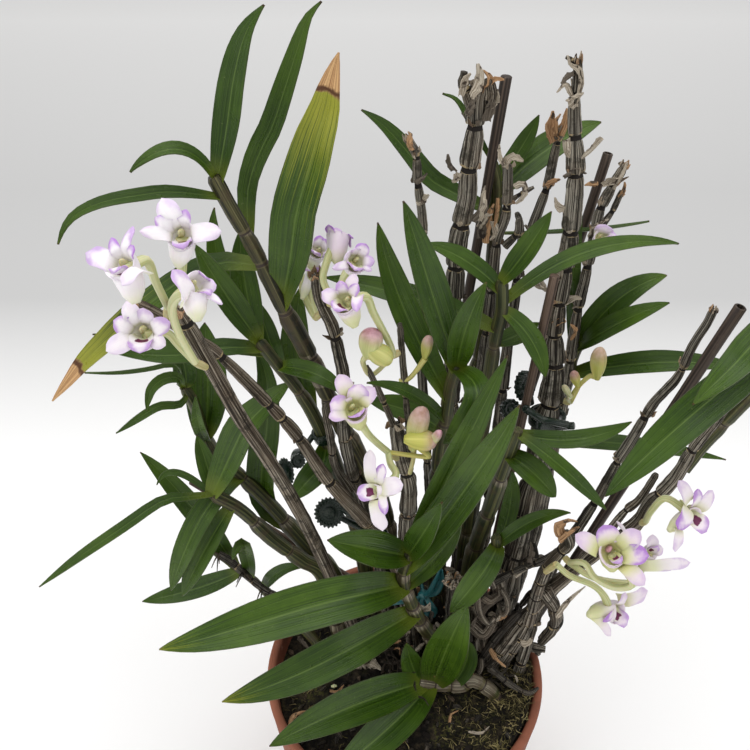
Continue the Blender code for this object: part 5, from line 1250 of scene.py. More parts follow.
grow_spray("flowers_middle_back_left", (-35.3, 8.9, 330.3), (-37.3, 12, 326.1), flowers=[
    (((-36.3, 22, 349.2), (0.1, -0.6, 0.8), (-39.7, 21.6, 343.1), 7.1, ((-37.3, 18.9, 349.5), 4.3), [
        ((-32.8, 24.4, 352.5), 4.3, 1), ((-35.2, 25.5, 353.6), 4.3, 1), ((-40.2, 21.8, 351.4), 4.3, 0.6),
        ((-33.6, 20, 349.2), 2.8, 0.4)], 0.4), [(-39, 22, 342), (-39, 18, 332)]),
    (((-38, 24, 341.2), (0.3, -0.3, 0.9), (-42.4, 15, 332.6), 5.3, ((-36.1, 21, 341.8), 2.9), [
        ((-35, 22.5, 341.4), 2.9, 1), ((-40.2, 22.8, 343.2), 3.9, 1),
        ((-41.9, 20, 342.9), 3.9, 0.7)], 0.4), [
        (-42.4, 20, 335.2), (-39.9, 15, 329.3)])])
grow_spray("flower_front_middle", (-6.4, -0.5, 319), (-8.4, -2.8, 319), flowers=[
    (((-25.1, -24, 354.7), (-0.2, -0.7, 0.7), (-21.5, -24.2, 345.2), 8.8, ((-28, -27, 353.4), 6.1), [
        ((-21.1, -20.2, 362.6), 4.3, 0.3, (-23, -21.2, 357.8)), ((-26.1, -20.5, 360.4), 4.1, 0.9),
        ((-20.2, -22.7, 360.3), 3.9, 1), ((-32.1, -21.8, 356.7), 5.3, 0.5),
        ((-20.9, -28.6, 353.7), 3.7, 0.8, (-20.4, -23.5, 356.3))], 0.75), [
        (-18.2, -18, 353.1), (-15.3, -13, 343.2), (-9.8, -5, 326.1)])], buds=[
    ((-17.5, -12, 324.5), (-15.5, -10, 335.8), 8.6, [
        (-18, -11, 324.9), (-19.3, -10, 320.9), (-16.2, -6, 312.6), (-8.4, -2.8, 319)]),
    ((-18.4, -12.5, 330), (-9, -12.5, 323), 7.9, [(-13.9, -11, 326), (-16.2, -10, 326.5)]),
    ((3.4, -1, 316.6), (4.7, -1, 326.8), 4.4, [
        (3.5, -1, 316.6), (0.9, -1, 311.7), (-2.3, -1, 307.2), (-5.6, 0, 305.6)])],
    bud_tints=((1.0, 0.4), (0.0, 0.7), (0.75, 0.9)))
grow_spray("flowers_centre", (-6.5, -9.1, 274.4), (-10, -15, 282.8), flowers=[
    (((-22.1, -24, 310.8), (0.1, -0.7, 0.8), (-20.2, -23.5, 301.4), 9.5, ((-20.3, -27.3, 310.2), 6.9), [
        ((-27.8, -16.5, 320.4), 6.5, 0.4, (-24.6, -19.8, 314.2)), ((-20.1, -18.2, 317.4), 7.7, 0.8),
        ((-15.3, -18.5, 316.2), 6.1, 0.4), ((-30.8, -24.9, 313.7), 8.1, 0.8),
        ((-31, -28.6, 310.6), 4.9, 0.5)], 0.95), [(-18.6, -21, 298.8), (-15.3, -18, 291.3)]),
    (((-15.3, -30, 276.7), (-0.5, -0.6, 0.6), (-5.5, -30.4, 277.9), 5.5, ((-21.6, -29.7, 274.9), 6.4), [
        ((-16.8, -21, 289.3), 5.5, 0.15, (-15.7, -26.6, 278.9)),
        ((-11.9, -25.6, 286.4), 4.7, 1, (-13.1, -28.2, 279.4)),
        ((-4.8, -33.9, 283.9), 6.8, 0.2, (-11.9, -30, 278.7)),
        ((-11.1, -38.9, 273.7), 4.0, 1, (-11.9, -32.1, 276.6)),
        ((-11.9, -39, 265.5), 6.4, 0.15, (-14.4, -32.8, 273.8))], 0.5), [
        (-7.3, -25, 279.8), (-9.2, -19, 280.7)])], buds=[
    ((-0.9, -16, 285.3), (2.5, -16, 305.6), 8.1, [
        (-0.3, -16, 285.5), (-0.2, -14, 278.5), (-1.2, -11, 268.2)]),
    ((-4.3, -20, 293.5), (8.1, -20, 292.1), 8.1, [
        (1.9, -19, 288.2), (5.4, -18, 283.2), (-2.2, -17, 283.1), (-10, -15, 282.8)]),
    ((4.7, -20.5, 290.1), (9.2, -20.5, 298.2), 3.6, [(5.4, -20, 290.7), (4.4, -19, 288.7)])],
    bud_tints=((0.75, 0.6), (0.75, 1.0), (1.0, 0.2)))
grow_spray("flowers_right_low", (64.8, -17.1, 225.9), (66.5, -19.4, 225), flowers=[
    (((76.7, -36, 249.5), (-0.1, -0.7, 0.7), (77.6, -36.8, 240.4), 10.9, ((78.7, -40.1, 248.5), 5.0), [
        ((62.4, -30.9, 254.7), 7.1, 0.3, (70.8, -33.8, 250.1)), ((73.3, -29.1, 258), 9.2, 0.9),
        ((86.5, -31.6, 257.4), 7.9, 0.4), ((89.3, -38.3, 251.2), 7.9, 1),
        ((87.7, -45, 242), 6.3, 0.3, (81.8, -39.8, 245.8))], 1.0, True), [
        (86.3, -38, 235.4), (81.5, -36, 229.4), (74.4, -31, 229), (70.3, -26, 232.3)]),
    (((95.6, -28, 241.1), (0.5, -0.5, 0.7), (93, -31.5, 236.2), 6.5, ((97.7, -26.7, 243.4), 3.9), [
        ((95.8, -23.4, 246.4), 6.5, 0.3), ((100.3, -26, 241.4), 4.8, 0.5),
        ((113.2, -25.7, 232.3), 4.8, 0.5, (93, -32.9, 238.7)),
        ((105, -30.1, 235.1), 3.5, 1, (95.1, -32.6, 237.5)),
        ((79.1, -25.9, 256.5), 1.9, 0.2, (83.5, -26.5, 250.1))], 0.5), [
        (93, -28, 230), (90.2, -33, 228.7), (74.8, -30, 227.8)])])
grow_spray("flower_right_lowest", (58.2, -16.9, 216.5), (59.2, -25, 230.7), flowers=[
    (((88.1, -28, 202.9), (0.6, -0.7, 0.3), (74.5, -32.3, 207.5), 10.0, ((92.9, -29.7, 197.4), 6.5), [
        ((102.8, -19, 206.9), 7.9, 0.4, (94, -21.9, 204.6)), ((91.5, -23.4, 210.8), 5.6, 0.4),
        ((80.2, -34.6, 206.2), 3.5, 1, (86.4, -27.7, 204.7)),
        ((84.5, -35.5, 197.7), 4.2, 0.2, (78.5, -33.4, 205.7))], 0.7), [
        (80.9, -27, 213.8), (75.3, -26, 219.2), (65.5, -26, 224.7)])])
grow_spray("flower_right_end", (94.2, -15.3, 244.4), (94.4, -18, 248.5), flowers=[
    (((106.4, -30, 263.4), (0.4, -0.8, 0.5), (96.4, -33.7, 259.7), 7.2, ((111.3, -32.9, 258.5), 7.0), [
        ((97.9, -27, 279.3), 5.4, 0.4, (103.7, -27.5, 269)),
        ((106.7, -25.6, 273.7), 4.5, 0.8, (106.8, -27.1, 266.9)),
        ((113.8, -23.5, 270.8), 6.2, 0.5, (109.3, -26.7, 265.3)),
        ((98.3, -36.3, 263.3), 7.0, 1, (103.3, -29.1, 266.6)),
        ((98.4, -39, 254.2), 4.5, 0.4, (99.6, -34.6, 260.6))], 0.6), [
        (100.6, -27, 266.7), (95.5, -25, 268.1), (93.4, -22, 258.1)])])
grow_spray("flower_back", (72.1, 41.7, 347.6), (72.3, 38.8, 348.3), flowers=[
    (((72.6, 36, 347.7), (0, -0.7, 0.7), (70.6, 37, 343), 6.4, ((74.4, 32.8, 347.3), 4.4), [
        ((73.8, 38.1, 351.9), 7.4, 0.5), ((77.6, 34.2, 348), 5.4, 0.7),
        ((67.7, 31.3, 345.1), 3.4, 0)], 0.6), [
        (72.5, 39.5, 345)])])
grow_spray("buds_on_tall_cane", (63.7, 19.2, 281), (66.4, 18, 281), buds=[
    ((74.4, 15, 295.4), (73.1, 15, 310.9), 6.5, [
        (73.8, 15, 296.4), (71, 16, 295.6), (66.7, 17, 287.3), (66.4, 18, 281)]),
    ((67.7, 16, 290.6), (64.5, 16, 298.6), 4.0, [(67.6, 16, 291.1), (67.5, 17, 287.3), (66.4, 18, 281)]),
    ((65.2, 15, 286.2), (61.1, 15, 292.4), 2.8, [(64.8, 15, 286.8), (64.8, 17, 283.7), (66.4, 18, 281)])],
    bud_tints=((0.6, 0.9), (0.8, 1.0), (0.2, 0.0)))


# ---------------------------------------------------------------- clips and tie
# Dark green plastic spring clips, each a band round a cane with toothed finger grips, and a
# blue-green plastic tie knotted round one cane.
def plastic(name, colour, roughness):
    made, tree, shader = paint_of(name, roughness, 0.5)
    dust = patch(tree, 0.50, 0.70, 240.0, 4.0, 0.7)
    tree.links.new(mixed(tree, times(tree, dust, 0.35), (*colour, 1), (0.10, 0.11, 0.09, 1)),
                   shader.inputs["Base Color"])
    tree.links.new(plus(tree, roughness, times(tree, dust, 0.25)),
                   shader.inputs["Roughness"])
    bumped(tree, shader, cloud(tree, 900.0, 3.0), 0.15, 0.0002)
    return made


clip_green = plastic("clip_green", (0.006, 0.016, 0.010), 0.2)
tie_blue = plastic("tie_blue", (0.02, 0.13, 0.14), 0.35)


def ease_edges(made, width, segments):
    ease = made.modifiers.new("eased", 'BEVEL')
    ease.width = width
    ease.segments = segments
    ease.limit_method = 'ANGLE'
    bpy.ops.object.modifier_apply(modifier="eased")


def seat(made, centre, axis):
    """Turns and moves a part made at the origin, its place kept in its mesh."""
    made.rotation_euler = Vector(axis).to_track_quat('Z', 'Y').to_euler()
    made.location = Vector(centre) * MM
    settle()
    made.select_set(False)
    return made


def make_band(centre, axis, inner, outer, height):
    """Ring round a cane with eased edges."""
    bpy.ops.mesh.primitive_circle_add(vertices=36, radius=outer * MM, location=(0, 0, -height / 2 * MM))
    made = bpy.context.object
    share = inner / outer
    settle()
    start_shaping()
    bpy.ops.mesh.extrude_edges_move(TRANSFORM_OT_translate={"value": (0, 0, height * MM)})
    bpy.ops.mesh.extrude_edges_move(TRANSFORM_OT_translate={"value": (0, 0, 0)})
    bpy.ops.transform.resize(value=(share, share, 1), center_override=(0, 0, 0))
    bpy.ops.mesh.extrude_edges_move(TRANSFORM_OT_translate={"value": (0, 0, -height * MM)})
    bpy.ops.mesh.select_all(action='DESELECT')
    bpy.ops.mesh.select_mode(type='EDGE')
    bpy.ops.mesh.select_non_manifold()
    bpy.ops.mesh.bridge_edge_loops()
    end_shaping()
    ease_edges(made, 0.0003, 2)
    return seat(made, centre, axis)


def make_grip(centre, axis, radius, thickness, teeth, stretch=1.0):
    """Finger grip: a dished disc with a row of rounded teeth on its rim."""
    bpy.ops.mesh.primitive_circle_add(vertices=teeth * 6, radius=radius * MM, fill_type='NGON',
                                      location=(0, 0, -thickness / 2 * MM))
    made = bpy.context.object
    settle()
    for corner in made.data.vertices:
        turn = atan2(corner.co.y, corner.co.x)
        share = 0.94 + 0.06 * cos(teeth * turn)
        corner.co.x *= share
        corner.co.y *= share * stretch
    start_shaping()
    bpy.ops.mesh.extrude_region_move(TRANSFORM_OT_translate={"value": (0, 0, thickness * MM)})
    last = 1.0
    level = 0.0
    for share, rise in ((0.93, 0.25), (0.78, 0.0), (0.72, -0.5), (0.40, -0.5), (0.34, 0.3)):
        bpy.ops.mesh.extrude_region_move(TRANSFORM_OT_translate={"value": (0, 0, 0)})
        bpy.ops.transform.resize(value=(share / last, share / last, 1), center_override=(0, 0, 0))
        bpy.ops.transform.translate(value=(0, 0, (rise - level) * 0.4 * thickness * MM))
        last = share
        level = rise
    end_shaping()
    ease_edges(made, 0.00025, 2)
    return seat(made, centre, axis)


def make_arm(a, b, radius):
    """Short round arm with eased ends."""
    run = Vector(b) - Vector(a)
    bpy.ops.mesh.primitive_cylinder_add(vertices=16, radius=radius * MM, depth=run.length * MM)
    made = bpy.context.object
    ease_edges(made, radius * 0.35 * MM, 3)
    return seat(made, (Vector(a) + Vector(b)) / 2, run)


def finish_clip(name, parts):
    """Joins a clip's parts into one moulded piece."""
    for part in parts:
        part.select_set(True)
    bpy.context.view_layer.objects.active = parts[0]
    bpy.ops.object.join()
    made = bpy.context.object
    made.name = name + "_moulding"
    made.data.materials.clear()
    made.data.materials.append(clip_green)
    bpy.ops.object.shade_smooth_by_angle(angle=radians(40))
    made.select_set(False)
    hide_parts(name)
    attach(made, "root")


finish_clip("clip_tall_cane", [
    make_band((58.2, 20.3, 270.9), (0.03, 0.06, 1), 6.2, 7.9, 4.6),
    make_arm((60, 12, 273), (67, 9, 276), 1.6), make_arm((52, 27, 273), (50, 28, 281), 1.8),
    make_grip((48.5, 27, 283), (0.75, -0.55, 0.35), 6.6, 3, 16),
    make_arm((50, 25, 272), (44, 26, 272), 1.8), make_grip((43, 25, 272), (0.35, -0.75, 0.55), 4.6, 3, 12),
    make_arm((46, 10, 284), (53, 8.5, 279.5), 1.6), make_arm((52.5, 8.5, 279.8), (64.5, 9.5, 276), 1.6),
    make_arm((46, 10, 284), (49, 20, 279), 1.5)])
finish_clip("clip_left_jointed", [
    make_band((-13.2, 10.8, 205), (-0.35, -0.16, 0.92), 4.4, 5.9, 6),
    make_arm((-17, 14, 207), (-32, 18, 214), 1.5),
    make_arm((-17, 14, 212), (-30, 17, 221), 2.2),
    make_grip((-36, 16, 218.5), (0.1, -0.75, 0.65), 7.2, 3, 22)])
finish_clip("clip_left_inner", [
    make_band((-37.6, 23.7, 259), (-0.29, -0.13, 0.95), 3.5, 4.9, 5),
    make_arm((-42, 23, 259), (-49, 20, 249), 1.3), make_arm((-49, 22, 249), (-49, 17, 251), 3.0),
    make_arm((-49, 20, 249), (-54, 21, 240), 1.3),
    make_grip((-54.5, 17.5, 242.5), (0.3, -0.7, 0.6), 3.4, 2.4, 18, 1.9),
    make_grip((-48.3, 13, 253), (0.2, -0.8, 0.55), 3.3, 3, 14)])

growth = new_growth()
knot = Vector((8.2, 1.6, 178))
plain = (0, 0, 0.5, 0)
TIE = 0
for lift in (-1.2, 0.9):
    hoop = [Vector((0.7 + 7.0 * cos(a), 5.1 + 7.0 * sin(a), 178 + lift + 0.5 * sin(2 * a)))
            for a in [2 * pi * k / 12 for k in range(13)]]
    add_knob(growth, hoop, [0.75, 0.75], 8, TIE, plain)
add_knob(growth, [knot + Vector((-2.6, -0.6, -0.3)), knot, knot + Vector((2.8, -0.4, 0.6))],
         [1.2, 2.7, 1.2], 10, TIE, plain, 5, 0.08)
for way, widths in (
        (((0, 0, 0), (2.5, -2, 5), (5, -1.5, 12), (7, -1, 20)), (1.0, 1.6, 1.4, 0.5)),
        (((0, 0, 0), (5.5, -0.5, 3), (8, 0.5, 10), (7.6, -1, 19)), (1.0, 1.3, 1.2, 0.5)),
        (((0, 0, 0), (-1, -2, -4), (2, -2, -11), (3, -2, -18)), (1.1, 1.5, 1.4, 0.4)),
        (((0, 0, 0), (3, -3, -3), (5.5, -3, -8), (5, -3, -13)), (0.9, 1.2, 1.1, 0.4)),
        (((-8, -3, 0), (-11, -4.5, 1.5), (-15, -5.5, 1.5), (-20, -6, -1)), (1.3, 1.3, 1.1, 0.4))):
    add_knob(growth, [knot + Vector(p) for p in way], widths, 8, TIE, plain, 2, 0.35)
finish_piece("tie_mid_brown_strands", growth, (tie_blue,), "tie_mid_brown", 60)


# ---------------------------------------------------------------- pot
# Plain tapered terracotta flower pot, thrown thin with a rounded lip, three drain holes in
# its floor and faint lime marks on its wall.
FLAT_RADIUS = 56.0
DRAIN_RADIUS, DRAIN_RING = 4.5, 30.0
bpy.ops.mesh.primitive_circle_add(vertices=128, radius=FLAT_RADIUS * MM, fill_type='NGON')
pot = bpy.context.object
pot.name = "terracotta_pot"
start_shaping()
radius = FLAT_RADIUS
height = 0.0
for next_radius, next_height in (
        (57.2, 0.3), (57.9, 1.1), (58.2, 2.2), (60.6, 27.0), (63.0, 52.0), (65.5, 78.0), (68.0, 104.0),
        (69.6, 121.0), (69.9, 123.0), (69.6, 124.3), (68.7, 125.0), (67.3, 125.0), (66.2, 124.5),
        (65.5, 123.2), (63.4, 101.0), (60.6, 71.0), (57.7, 41.0), (54.9, 12.0), (54.0, 8.4), (52.4, 7.0)):
    bpy.ops.mesh.extrude_region_move(
        TRANSFORM_OT_translate={"value": (0, 0, (next_height - height) * MM)})
    bpy.ops.transform.resize(value=(next_radius / radius, next_radius / radius, 1),
                             center_override=(0, 0, next_height * MM))
    radius = next_radius
    height = next_height
end_shaping()
for k in range(3):
    turn = radians(90 + 120 * k)
    place = Vector((DRAIN_RING * cos(turn), DRAIN_RING * sin(turn), 4)) * MM
    bpy.ops.mesh.primitive_cylinder_add(vertices=32, radius=DRAIN_RADIUS * MM, depth=20 * MM,
                                        location=place)
    drain = bpy.context.object
    drain.select_set(False)
    pot.select_set(True)
    bpy.context.view_layer.objects.active = pot
    cut = pot.modifiers.new("drain", 'BOOLEAN')
    cut.operation = 'DIFFERENCE'
    cut.object = drain
    bpy.ops.object.modifier_apply(modifier="drain")
    bpy.data.objects.remove(drain)
bpy.ops.object.shade_smooth_by_angle(angle=radians(40))
pot.select_set(False)

terracotta, tree, shader = paint_of("terracotta", 0.78, 0.25)
place = put(tree, "ShaderNodeTexCoord").outputs["Object"]
clouds = cloud(tree, 26.0, 5.0, 0.6)
colour = shades(tree, clouds, (0.32, 0.13, 0.040, 0.022), (0.50, 0.22, 0.070, 0.038),
                (0.70, 0.30, 0.11, 0.065))
rings = put(tree, "ShaderNodeMapping", {"Vector": place, "Scale": (3.0, 3.0, 520.0)}).outputs[0]
turned = noisy(tree, rings, 1.0, 2.0)
colour = mixed(tree, times(tree, rising(tree, turned, 0.5, 0.7), 0.18), colour, (0.34, 0.14, 0.085, 1))
height = put(tree, "ShaderNodeSeparateXYZ", {0: place}).outputs["Z"]
# Painted highlight: the top of the rim, from 122.5 mm up, is painted a lighter terracotta.
lip = rising(tree, height, 0.1225, 0.1245)
colour = mixed(tree, times(tree, lip, 0.4), colour, (0.33, 0.13, 0.08, 1))
lime = times(tree, patch(tree, 0.56, 0.72, 70.0, 5.0, 0.7), 0.5)
colour = mixed(tree, lime, colour, (0.40, 0.26, 0.19, 1))
damp = times(tree, patch(tree, 0.52, 0.70, 38.0, 4.0, 0.65), 0.6)
colour = mixed(tree, damp, colour, (0.07, 0.03, 0.018, 1))
tree.links.new(colour, shader.inputs["Base Color"])
tree.links.new(plus(tree, 0.66, times(tree, clouds, 0.24)), shader.inputs["Roughness"])
grit = plus(tree, cloud(tree, 1400.0, 3.0), times(tree, turned, 0.8))
bumped(tree, shader, grit, 0.35, 0.0003)
pot.data.materials.append(terracotta)
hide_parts("pot")
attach(pot, "root")


# ---------------------------------------------------------------- potting mix
# Damp near-black bark mix that fills the pot to just under its rim, lumpy on top, with
# brown and yellow-green moss, bark chips and fine roots lying on it.
def soil_height(x, y):
    lumps = 0.7 * sin(0.31 * x + 1.3) * cos(0.27 * y) + 0.4 * sin(0.13 * x - 0.41 * y)
    return 117 + 0.045 * x + lumps


def mix_height(x, y):
    """Height of the finished surface: the lumps with crumbs on them."""
    crumbs = (noise.noise(Vector((x * 0.22, y * 0.22, 3.0))) * 1.5
              + noise.noise(Vector((x * 0.6, y * 0.6, 9.0))) * 0.9)
    edge = eased((64.0 - hypot(x, y)) / 3.0)
    heap = 2.6 * eased((x + 5) / 50) + 3.4 * eased((x - 30) / 32)
    return soil_height(x, y) + crumbs * edge - 0.5 + heap


MIX_FLOOR, MIX_FLOOR_RADIUS, MIX_SHOULDER, MIX_RADIUS = 7.5, 53.5, 112.0, 64.4
RING, CRUMB_REACH = 1.3, 1.6
bpy.ops.mesh.primitive_circle_add(vertices=160, radius=MIX_FLOOR_RADIUS * MM, fill_type='NGON',
                                  location=(0, 0, MIX_FLOOR * MM))
soil = bpy.context.object
soil.name = "bark_mix"
settle()
start_shaping()
bpy.ops.mesh.extrude_region_move(TRANSFORM_OT_translate={"value": (0, 0, (MIX_SHOULDER - MIX_FLOOR) * MM)})
flare = MIX_RADIUS / MIX_FLOOR_RADIUS
bpy.ops.transform.resize(value=(flare, flare, 1), center_override=(0, 0, MIX_SHOULDER * MM))
bpy.ops.mesh.extrude_region_move(TRANSFORM_OT_translate={"value": (0, 0, 5 * MM)})
radius = MIX_RADIUS
while radius > CRUMB_REACH:
    bpy.ops.mesh.inset(thickness=RING * MM)
    radius -= RING
bpy.ops.mesh.poke()
end_shaping()
for corner in soil.data.vertices:
    if corner.co.z > (MIX_SHOULDER + 3) * MM:
        corner.co.z = mix_height(corner.co.x / MM, corner.co.y / MM) * MM
bpy.ops.object.shade_smooth_by_angle(angle=radians(70))
soil.select_set(False)

bark_mix, tree, shader = paint_of("bark_mix", 0.88, 0.25)
clods = cloud(tree, 240.0, 6.0, 0.7)
colour = shades(tree, clods, (0.34, 0.002, 0.002, 0.0015), (0.50, 0.009, 0.007, 0.005),
                (0.66, 0.045, 0.034, 0.020))
mossy = patch(tree, 0.50, 0.66, 45.0, 4.0, 0.6)
fuzz = patch(tree, 0.48, 0.62, 620.0, 4.0, 0.7)
colour = mixed(tree, times(tree, times(tree, mossy, fuzz), 0.8), colour,
               (0.085, 0.085, 0.018, 1))
tree.links.new(colour, shader.inputs["Base Color"])
tree.links.new(maths(tree, 'SUBTRACT', 0.98, times(tree, mossy, 0.2)), shader.inputs["Roughness"])
bumped(tree, shader, clods, 1.0, 0.0016)
soil.data.materials.append(bark_mix)
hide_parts("soil")
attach(soil, "root")


# ---------------------------------------------------------------- dead leaf and bract
# A curled dead leaf under the front leaves and a papery bract before the canes, both dry
# and brittle, lying loose on the mix.
for name, points, width, shade in (
        ("dead_leaf", ((-38, -46, 0), (-30, -47, 1.3), (-22, -44, 4.2)), 7.4, TANNED),
        ("papery_bract", ((-14, -17, 0.6), (-7, -18, 2.6), (2, -16, 1.4)), 6.6, BLEACHED)):
    growth = new_growth()
    way = [Vector((x, y, max(soil_height(x, y), mix_height(x, y)) + lift + 0.9)) for x, y, lift in points]
    add_shred(growth, way, width, 0, shade, rows=22, count=9)
    finish_piece(name + "_curl", growth, (papery,), name, 60)


# ---------------------------------------------------------------- stubs and roots
# What years of growth left at the foot of the canes: blackened stubs of cut canes, creeping
# rootstock and wiry dead roots, tangled together and half sunk in the mix.
def loose_heading(*spreads):
    return Vector([between(low, high) for low, high in spreads]).normalized()


growth = new_growth()
for widths, way in (
        ((4.5, 4.0, 3.2), [(-97, 40, 163), (-89, 38, 158), (-81, 34, 151), (-71, 30, 145), (-58, 26, 140),
                           (-44, 24, 126)]),
        ((3.4, 2.2), [(-64, 30, 141), (-73, 28, 131), (-82, 23, 127)]),
        ((4.0, 2.6), [(38, -6, 196), (48, -6, 204), (60, -6, 212), (66, -4, 216)]),
        ((3.6, 2.4), [(41, -12, 140), (52, -16, 132), (60, -18, 128), (66, -14, 126)]),
        ((7.0, 7.6), [(20, -4, 112), (21, -5, 150), (21, -6, 186), (21, -6, 196)])):
    add_stem(growth, widths, way, 11, CANE, sides=16, ribs=0.06, tone=0.28, band=0.9, gnarl=0.24)
for reach, tone, way in (
        (1.5, 0.5, [(28.9, -10, 201.3), (28.5, -10, 206.9), (32.1, -10, 208.1), (35.8, -10, 203.9),
                    (38.8, -8, 195.6)]),
        (1.6, 0.5, [(27.7, -11, 191.4), (28.2, -12, 195.9), (30.6, -12, 195), (31.8, -12, 186.9),
                    (34.1, -12, 179.6), (37.4, -12, 174.9), (40.4, -11, 177.7)]),
        (1.9, 0.42, [(33.1, -11, 192.9), (36.8, -11, 190.2), (40.8, -9, 191.1)]),
        (1.2, 0.55, [(42.1, -9, 195.5), (44.9, -11, 190.2), (45.6, -11, 182.9), (43.5, -11, 180.1),
                     (41.7, -9, 184.7)]),
        (3.2, 0.4, [(30.5, -7, 168), (36.2, -9, 164.2), (40.5, -7, 170)]),
        (1.3, 0.0, [(70.3, 2, 170.6), (73.7, 0, 167.7), (75.4, 0, 159.9), (75.2, 2, 151.9)]),
        (1.4, 0.1, [(53.7, -6, 221), (56.3, -6, 213.6)]),
        (1.3, 0.42, [(49.5, 14.9, 121), (52.6, 12.1, 129), (56.1, 10.7, 132), (64.6, 12.9, 130)]),
        (1.7, 0.5, [(48.8, 10.2, 121), (51.5, 4.9, 130), (56.3, 3.1, 132), (65.7, 4.6, 132),
                    (69.5, 5.8, 126)]),
        (1.3, 0.5, [(38, -5.2, 138), (37.5, -8.6, 134), (35.2, -8.9, 128)]),
        (2.2, 0.6, [(35.2, -8.9, 128.5), (31.9, -11.8, 127), (27.3, -13.3, 126)])):
    add_knob(growth, way, [reach, reach * 1.15, reach, reach * 0.8], 14, CANE, (0.0, 0.25, tone, 0),
             5, 0.07)
FIBRES = STUBS = 34
for k in range(FIBRES):
    turn = 0.35 * k
    foot = Vector((21.0 + 3.1 * cos(turn), -5.5 + 3.1 * sin(turn), 195.0))
    tip = foot + Vector((between(-2.6, 2.6), between(-2.6, 2.0), between(1.4, 4.6)))
    middle = (foot + tip) / 2 + Vector((cos(turn), sin(turn), 0.5)) * 1.6
    add_shred(growth, [foot, middle, tip], 0.9, PAPER, BLEACHED if k % 4 else TANNED, 7, 4)
for stub in range(STUBS):
    turn = between(0, 6.28)
    reach = between(2, 22)
    foot = Vector((24 + reach * cos(turn) * 1.3, 14 + reach * sin(turn), 113))
    lean = Vector((between(-0.35, 0.45), between(-0.3, 0.2), 1))
    long = between(22, 74)
    way = [foot, foot + lean * long * 0.35 + Vector((between(-4, 4), 0, 0)),
           foot + lean * long * 0.7, foot + lean * long + Vector((between(-3, 3), between(-3, 3), 0))]
    wide = between(2.6, 6.5)
    add_stem(growth, (wide, wide * 0.7), way, 14, CANE, sides=12, ribs=0.06, tone=between(0.02, 0.3),
             band=0.9, step=2.5, gnarl=0.26)
WIRY_ROOTS, LITTER = 90, 60
for root in range(WIRY_ROOTS):
    turn = between(0, 6.28)
    reach = 26 * sqrt(chance.random())
    spot = Vector((20 + reach * cos(turn) * 1.6, 10 + reach * sin(turn), 118 + chance.random() * 22))
    way = [spot]
    heading = loose_heading((-1, 1), (-1, 0.6), (-0.5, 0.7))
    for step in range(4):
        heading = (heading + Vector([between(-0.7, 0.7) for axis in range(3)])).normalized()
        way.append(way[-1] + heading * between(3, 7))
    if hypot(way[-1].x, way[-1].y) < 62:
        add_knob(growth, way, [between(0.35, 0.9), 0.25], 6, CANE, (0.0, between(0, 0.6), 0.2, 0))
for place, shade, wide, long in [
        (Vector((between(-6, 60), between(-12, 26), between(118, 180))),
         chance.choice((BLEACHED, TANNED, BLACKENED, BLACKENED)), between(1.8, 4.2),
         between(5, 12)) for piece in range(LITTER)]:
    away = loose_heading((-0.8, 0.8), (-0.9, 0.2), (-0.3, 1.0))
    bend = Vector([between(-1.5, 1.5) for axis in range(3)])
    way = [place, place + away * long * 0.5 + bend, place + away * long]
    add_shred(growth, way, wide, PAPER, shade, 7, 4)
for root in ((-97, 40, 163), (-84, 36, 154), (-74, 31, 147), (-65, 28, 141)):
    for k in range(4):
        start = Vector(root)
        heading = loose_heading((-1, 0.4), (-1, 0.2), (-0.9, 0.6))
        way = [start, start + heading * 4, start + heading * 8 + Vector((0, -1, between(-3, 1)))]
        add_knob(growth, way, [0.55, 0.2], 6, CANE, (0.0, between(0, 0.9), 0.3, 0))
finish_piece("stubs_and_roots", growth, (dry_cane, papery), None, 50)


# ---------------------------------------------------------------- moss and debris
# Brown and yellow-green moss that grows on the mix, thickest by the right rim, and the bits
# that fell on it: bark chips, tan slivers, a curled leaf, a grey bract and a white grain.
moss_brown, tree, shader = paint_of("moss", 0.9, 0.2)
ripe, pale, tone, under = tints_of(tree)
tufts = cloud(tree, 130.0, 3.0)
colour = shades(tree, tufts, (0.38, 0.020, 0.018, 0.007), (0.52, 0.095, 0.082, 0.030),
                (0.66, 0.25, 0.21, 0.085))
colour = mixed(tree, pale, colour, (0.34, 0.28, 0.13, 1))
colour = mixed(tree, ripe, colour, (0.010, 0.008, 0.006, 1))
tree.links.new(colour, shader.inputs["Base Color"])
growth = new_growth()
MOSS, CRUMB = 0, 1
MOSS_HAIRS, MOSS_REACH = 5200, 64.6
for k in range(MOSS_HAIRS):
    turn = between(0, 6.28) if k % 2 else chance.gauss(-0.2, 0.55)
    reach = MOSS_REACH * chance.random() ** (0.5 if k % 3 else 0.14)
    x = reach * cos(turn)
    y = reach * sin(turn)
    thick = noise.noise(Vector((x * 0.05, y * 0.05, 4.0))) + 0.6 * eased((x + 10) / 60)
    if thick < 0.02 or chance.random() > 0.35 + thick:
        continue
    foot = Vector((x, y, mix_height(x, y) - 0.5))
    heading = loose_heading((-1, 1), (-1, 1), (0.15, 0.9))
    if reach > 61:
        heading = (heading - Vector((x, y, 0)) * 0.010).normalized()
    way = [foot]
    for step in range(3):
        heading = (heading + Vector((between(-0.7, 0.7), between(-0.7, 0.7), -0.25))).normalized()
        way.append(way[-1] + heading * between(0.9, 2.0))
    spine = along(smooth_route(way, 3), [i / 3 for i in range(4)])
    wide = between(0.16, 0.36)
    shade = (chance.choice((0.0, 0.0, 0.8)), chance.choice((0.0, 0.0, 0.4, 1.0)), 0.5, 0)
    add_skin(growth, hoops(spine, 3, lambda i, a: wide * (1 - 0.22 * i)), [0, 1, 2, 3], [shade] * 4, MOSS)
CHIPS, CHIP_REACH = 420, 62
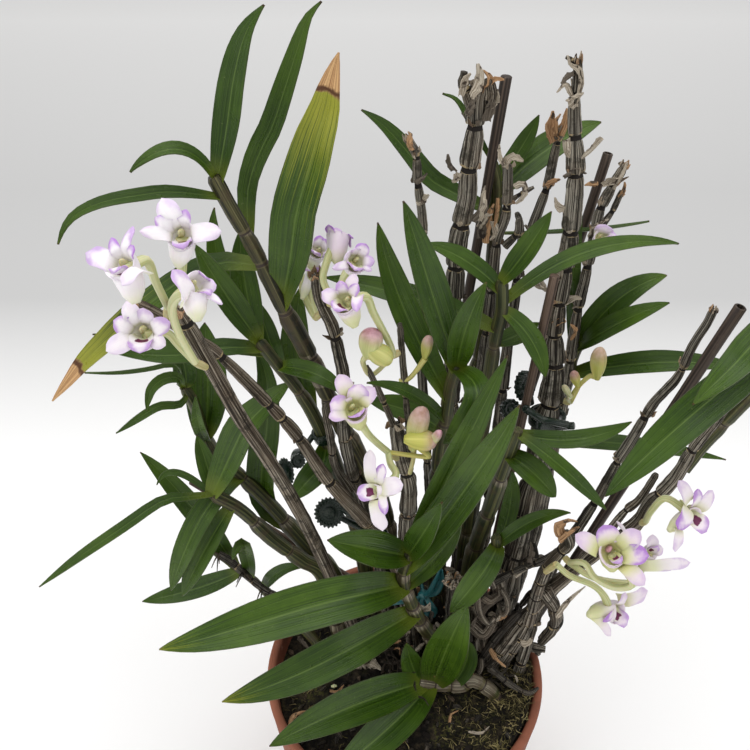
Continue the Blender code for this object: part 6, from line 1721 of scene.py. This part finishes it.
for chip in range(CHIPS):
    turn = between(0, 6.28)
    reach = CHIP_REACH * sqrt(chance.random())
    x = reach * cos(turn)
    y = reach * sin(turn)
    size = between(0.6, 2.3)
    heading = loose_heading((-1, 1), (-1, 1), (-0.3, 0.3))
    middle = Vector((x, y, mix_height(x, y) + size * 0.15))
    tint = (0.0, chance.choice((0.0, 0.2, 0.9)), between(0.0, 0.35), 0)
    add_knob(growth, [middle - heading * size, middle, middle + heading * size],
             [size * 0.35, size * 0.6, size * 0.3], 7, CRUMB, tint, 3, 0.3)
finish_piece("moss_and_chips", growth, (moss_brown, dry_cane), None, 50)

growth = new_growth()
for points, width, shade in (
        (((-58, -33, 1.2), (-56, -24, 4.2), (-46, -20, 2.0)), 3.6, TANNED),
        (((-38, -8, 1), (-34, -11, 2.4), (-31, -6, 1.5)), 1.2, TANNED),
        (((-27, 7, 1), (-20, 5, 4.5), (-12, 2, 3)), 6.5, BLEACHED),
        (((-25, 9, 2), (-21, 8, 6), (-17, 9, 3)), 3.0, BLEACHED),
        (((-2, -16, 0.6), (2, -18, 2), (5, -14, 1)), 1.6, TANNED),
        (((11, -10, 0.6), (15, -12, 1.6), (18, -9, 1)), 1.4, TANNED),
        (((21, -29, 0.6), (22, -25, 1.8), (26, -23, 1)), 1.5, TANNED),
        (((-2, -37, 0.6), (0, -33, 1.6), (3, -32, 1)), 1.5, TANNED),
        (((30, -34, 0.6), (36, -36, 1.8), (40, -32, 1)), 1.2, BLEACHED),
        (((-57, 23, 1), (-53, 18, 2.5), (-47, 14, 1)), 3.0, BLACKENED),
        (((-30, -22, 0.8), (-26, -25, 1.6), (-21, -24, 0.6)), 1.3, BLEACHED)):
    way = [Vector((x, y, mix_height(x, y) + lift)) for x, y, lift in points]
    add_shred(growth, way, width, 0, shade, rows=16, count=7)
finish_piece("fallen_scraps", growth, (papery,), None, 60)
growth = new_growth()
for x, y, size, shade in ((-36, -6, 1.5, (0.0, 0.0, 0.5, 0)), (-54, -30, 2.0, (0.0, 0.9, 0.5, 0)),
                          (-50, -30, 1.7, (0.0, 0.9, 0.5, 0))):
    middle = Vector((x, y, mix_height(x, y) + size * 0.6))
    add_knob(growth, [middle - Vector((size, 0, 0)), middle, middle + Vector((size, 0, 0.3))],
             [size * 0.3, size * 0.8, size * 0.3], 12, 0, shade)
finish_piece("grain_and_green_bits", growth, (stalk_green,), None, 60)
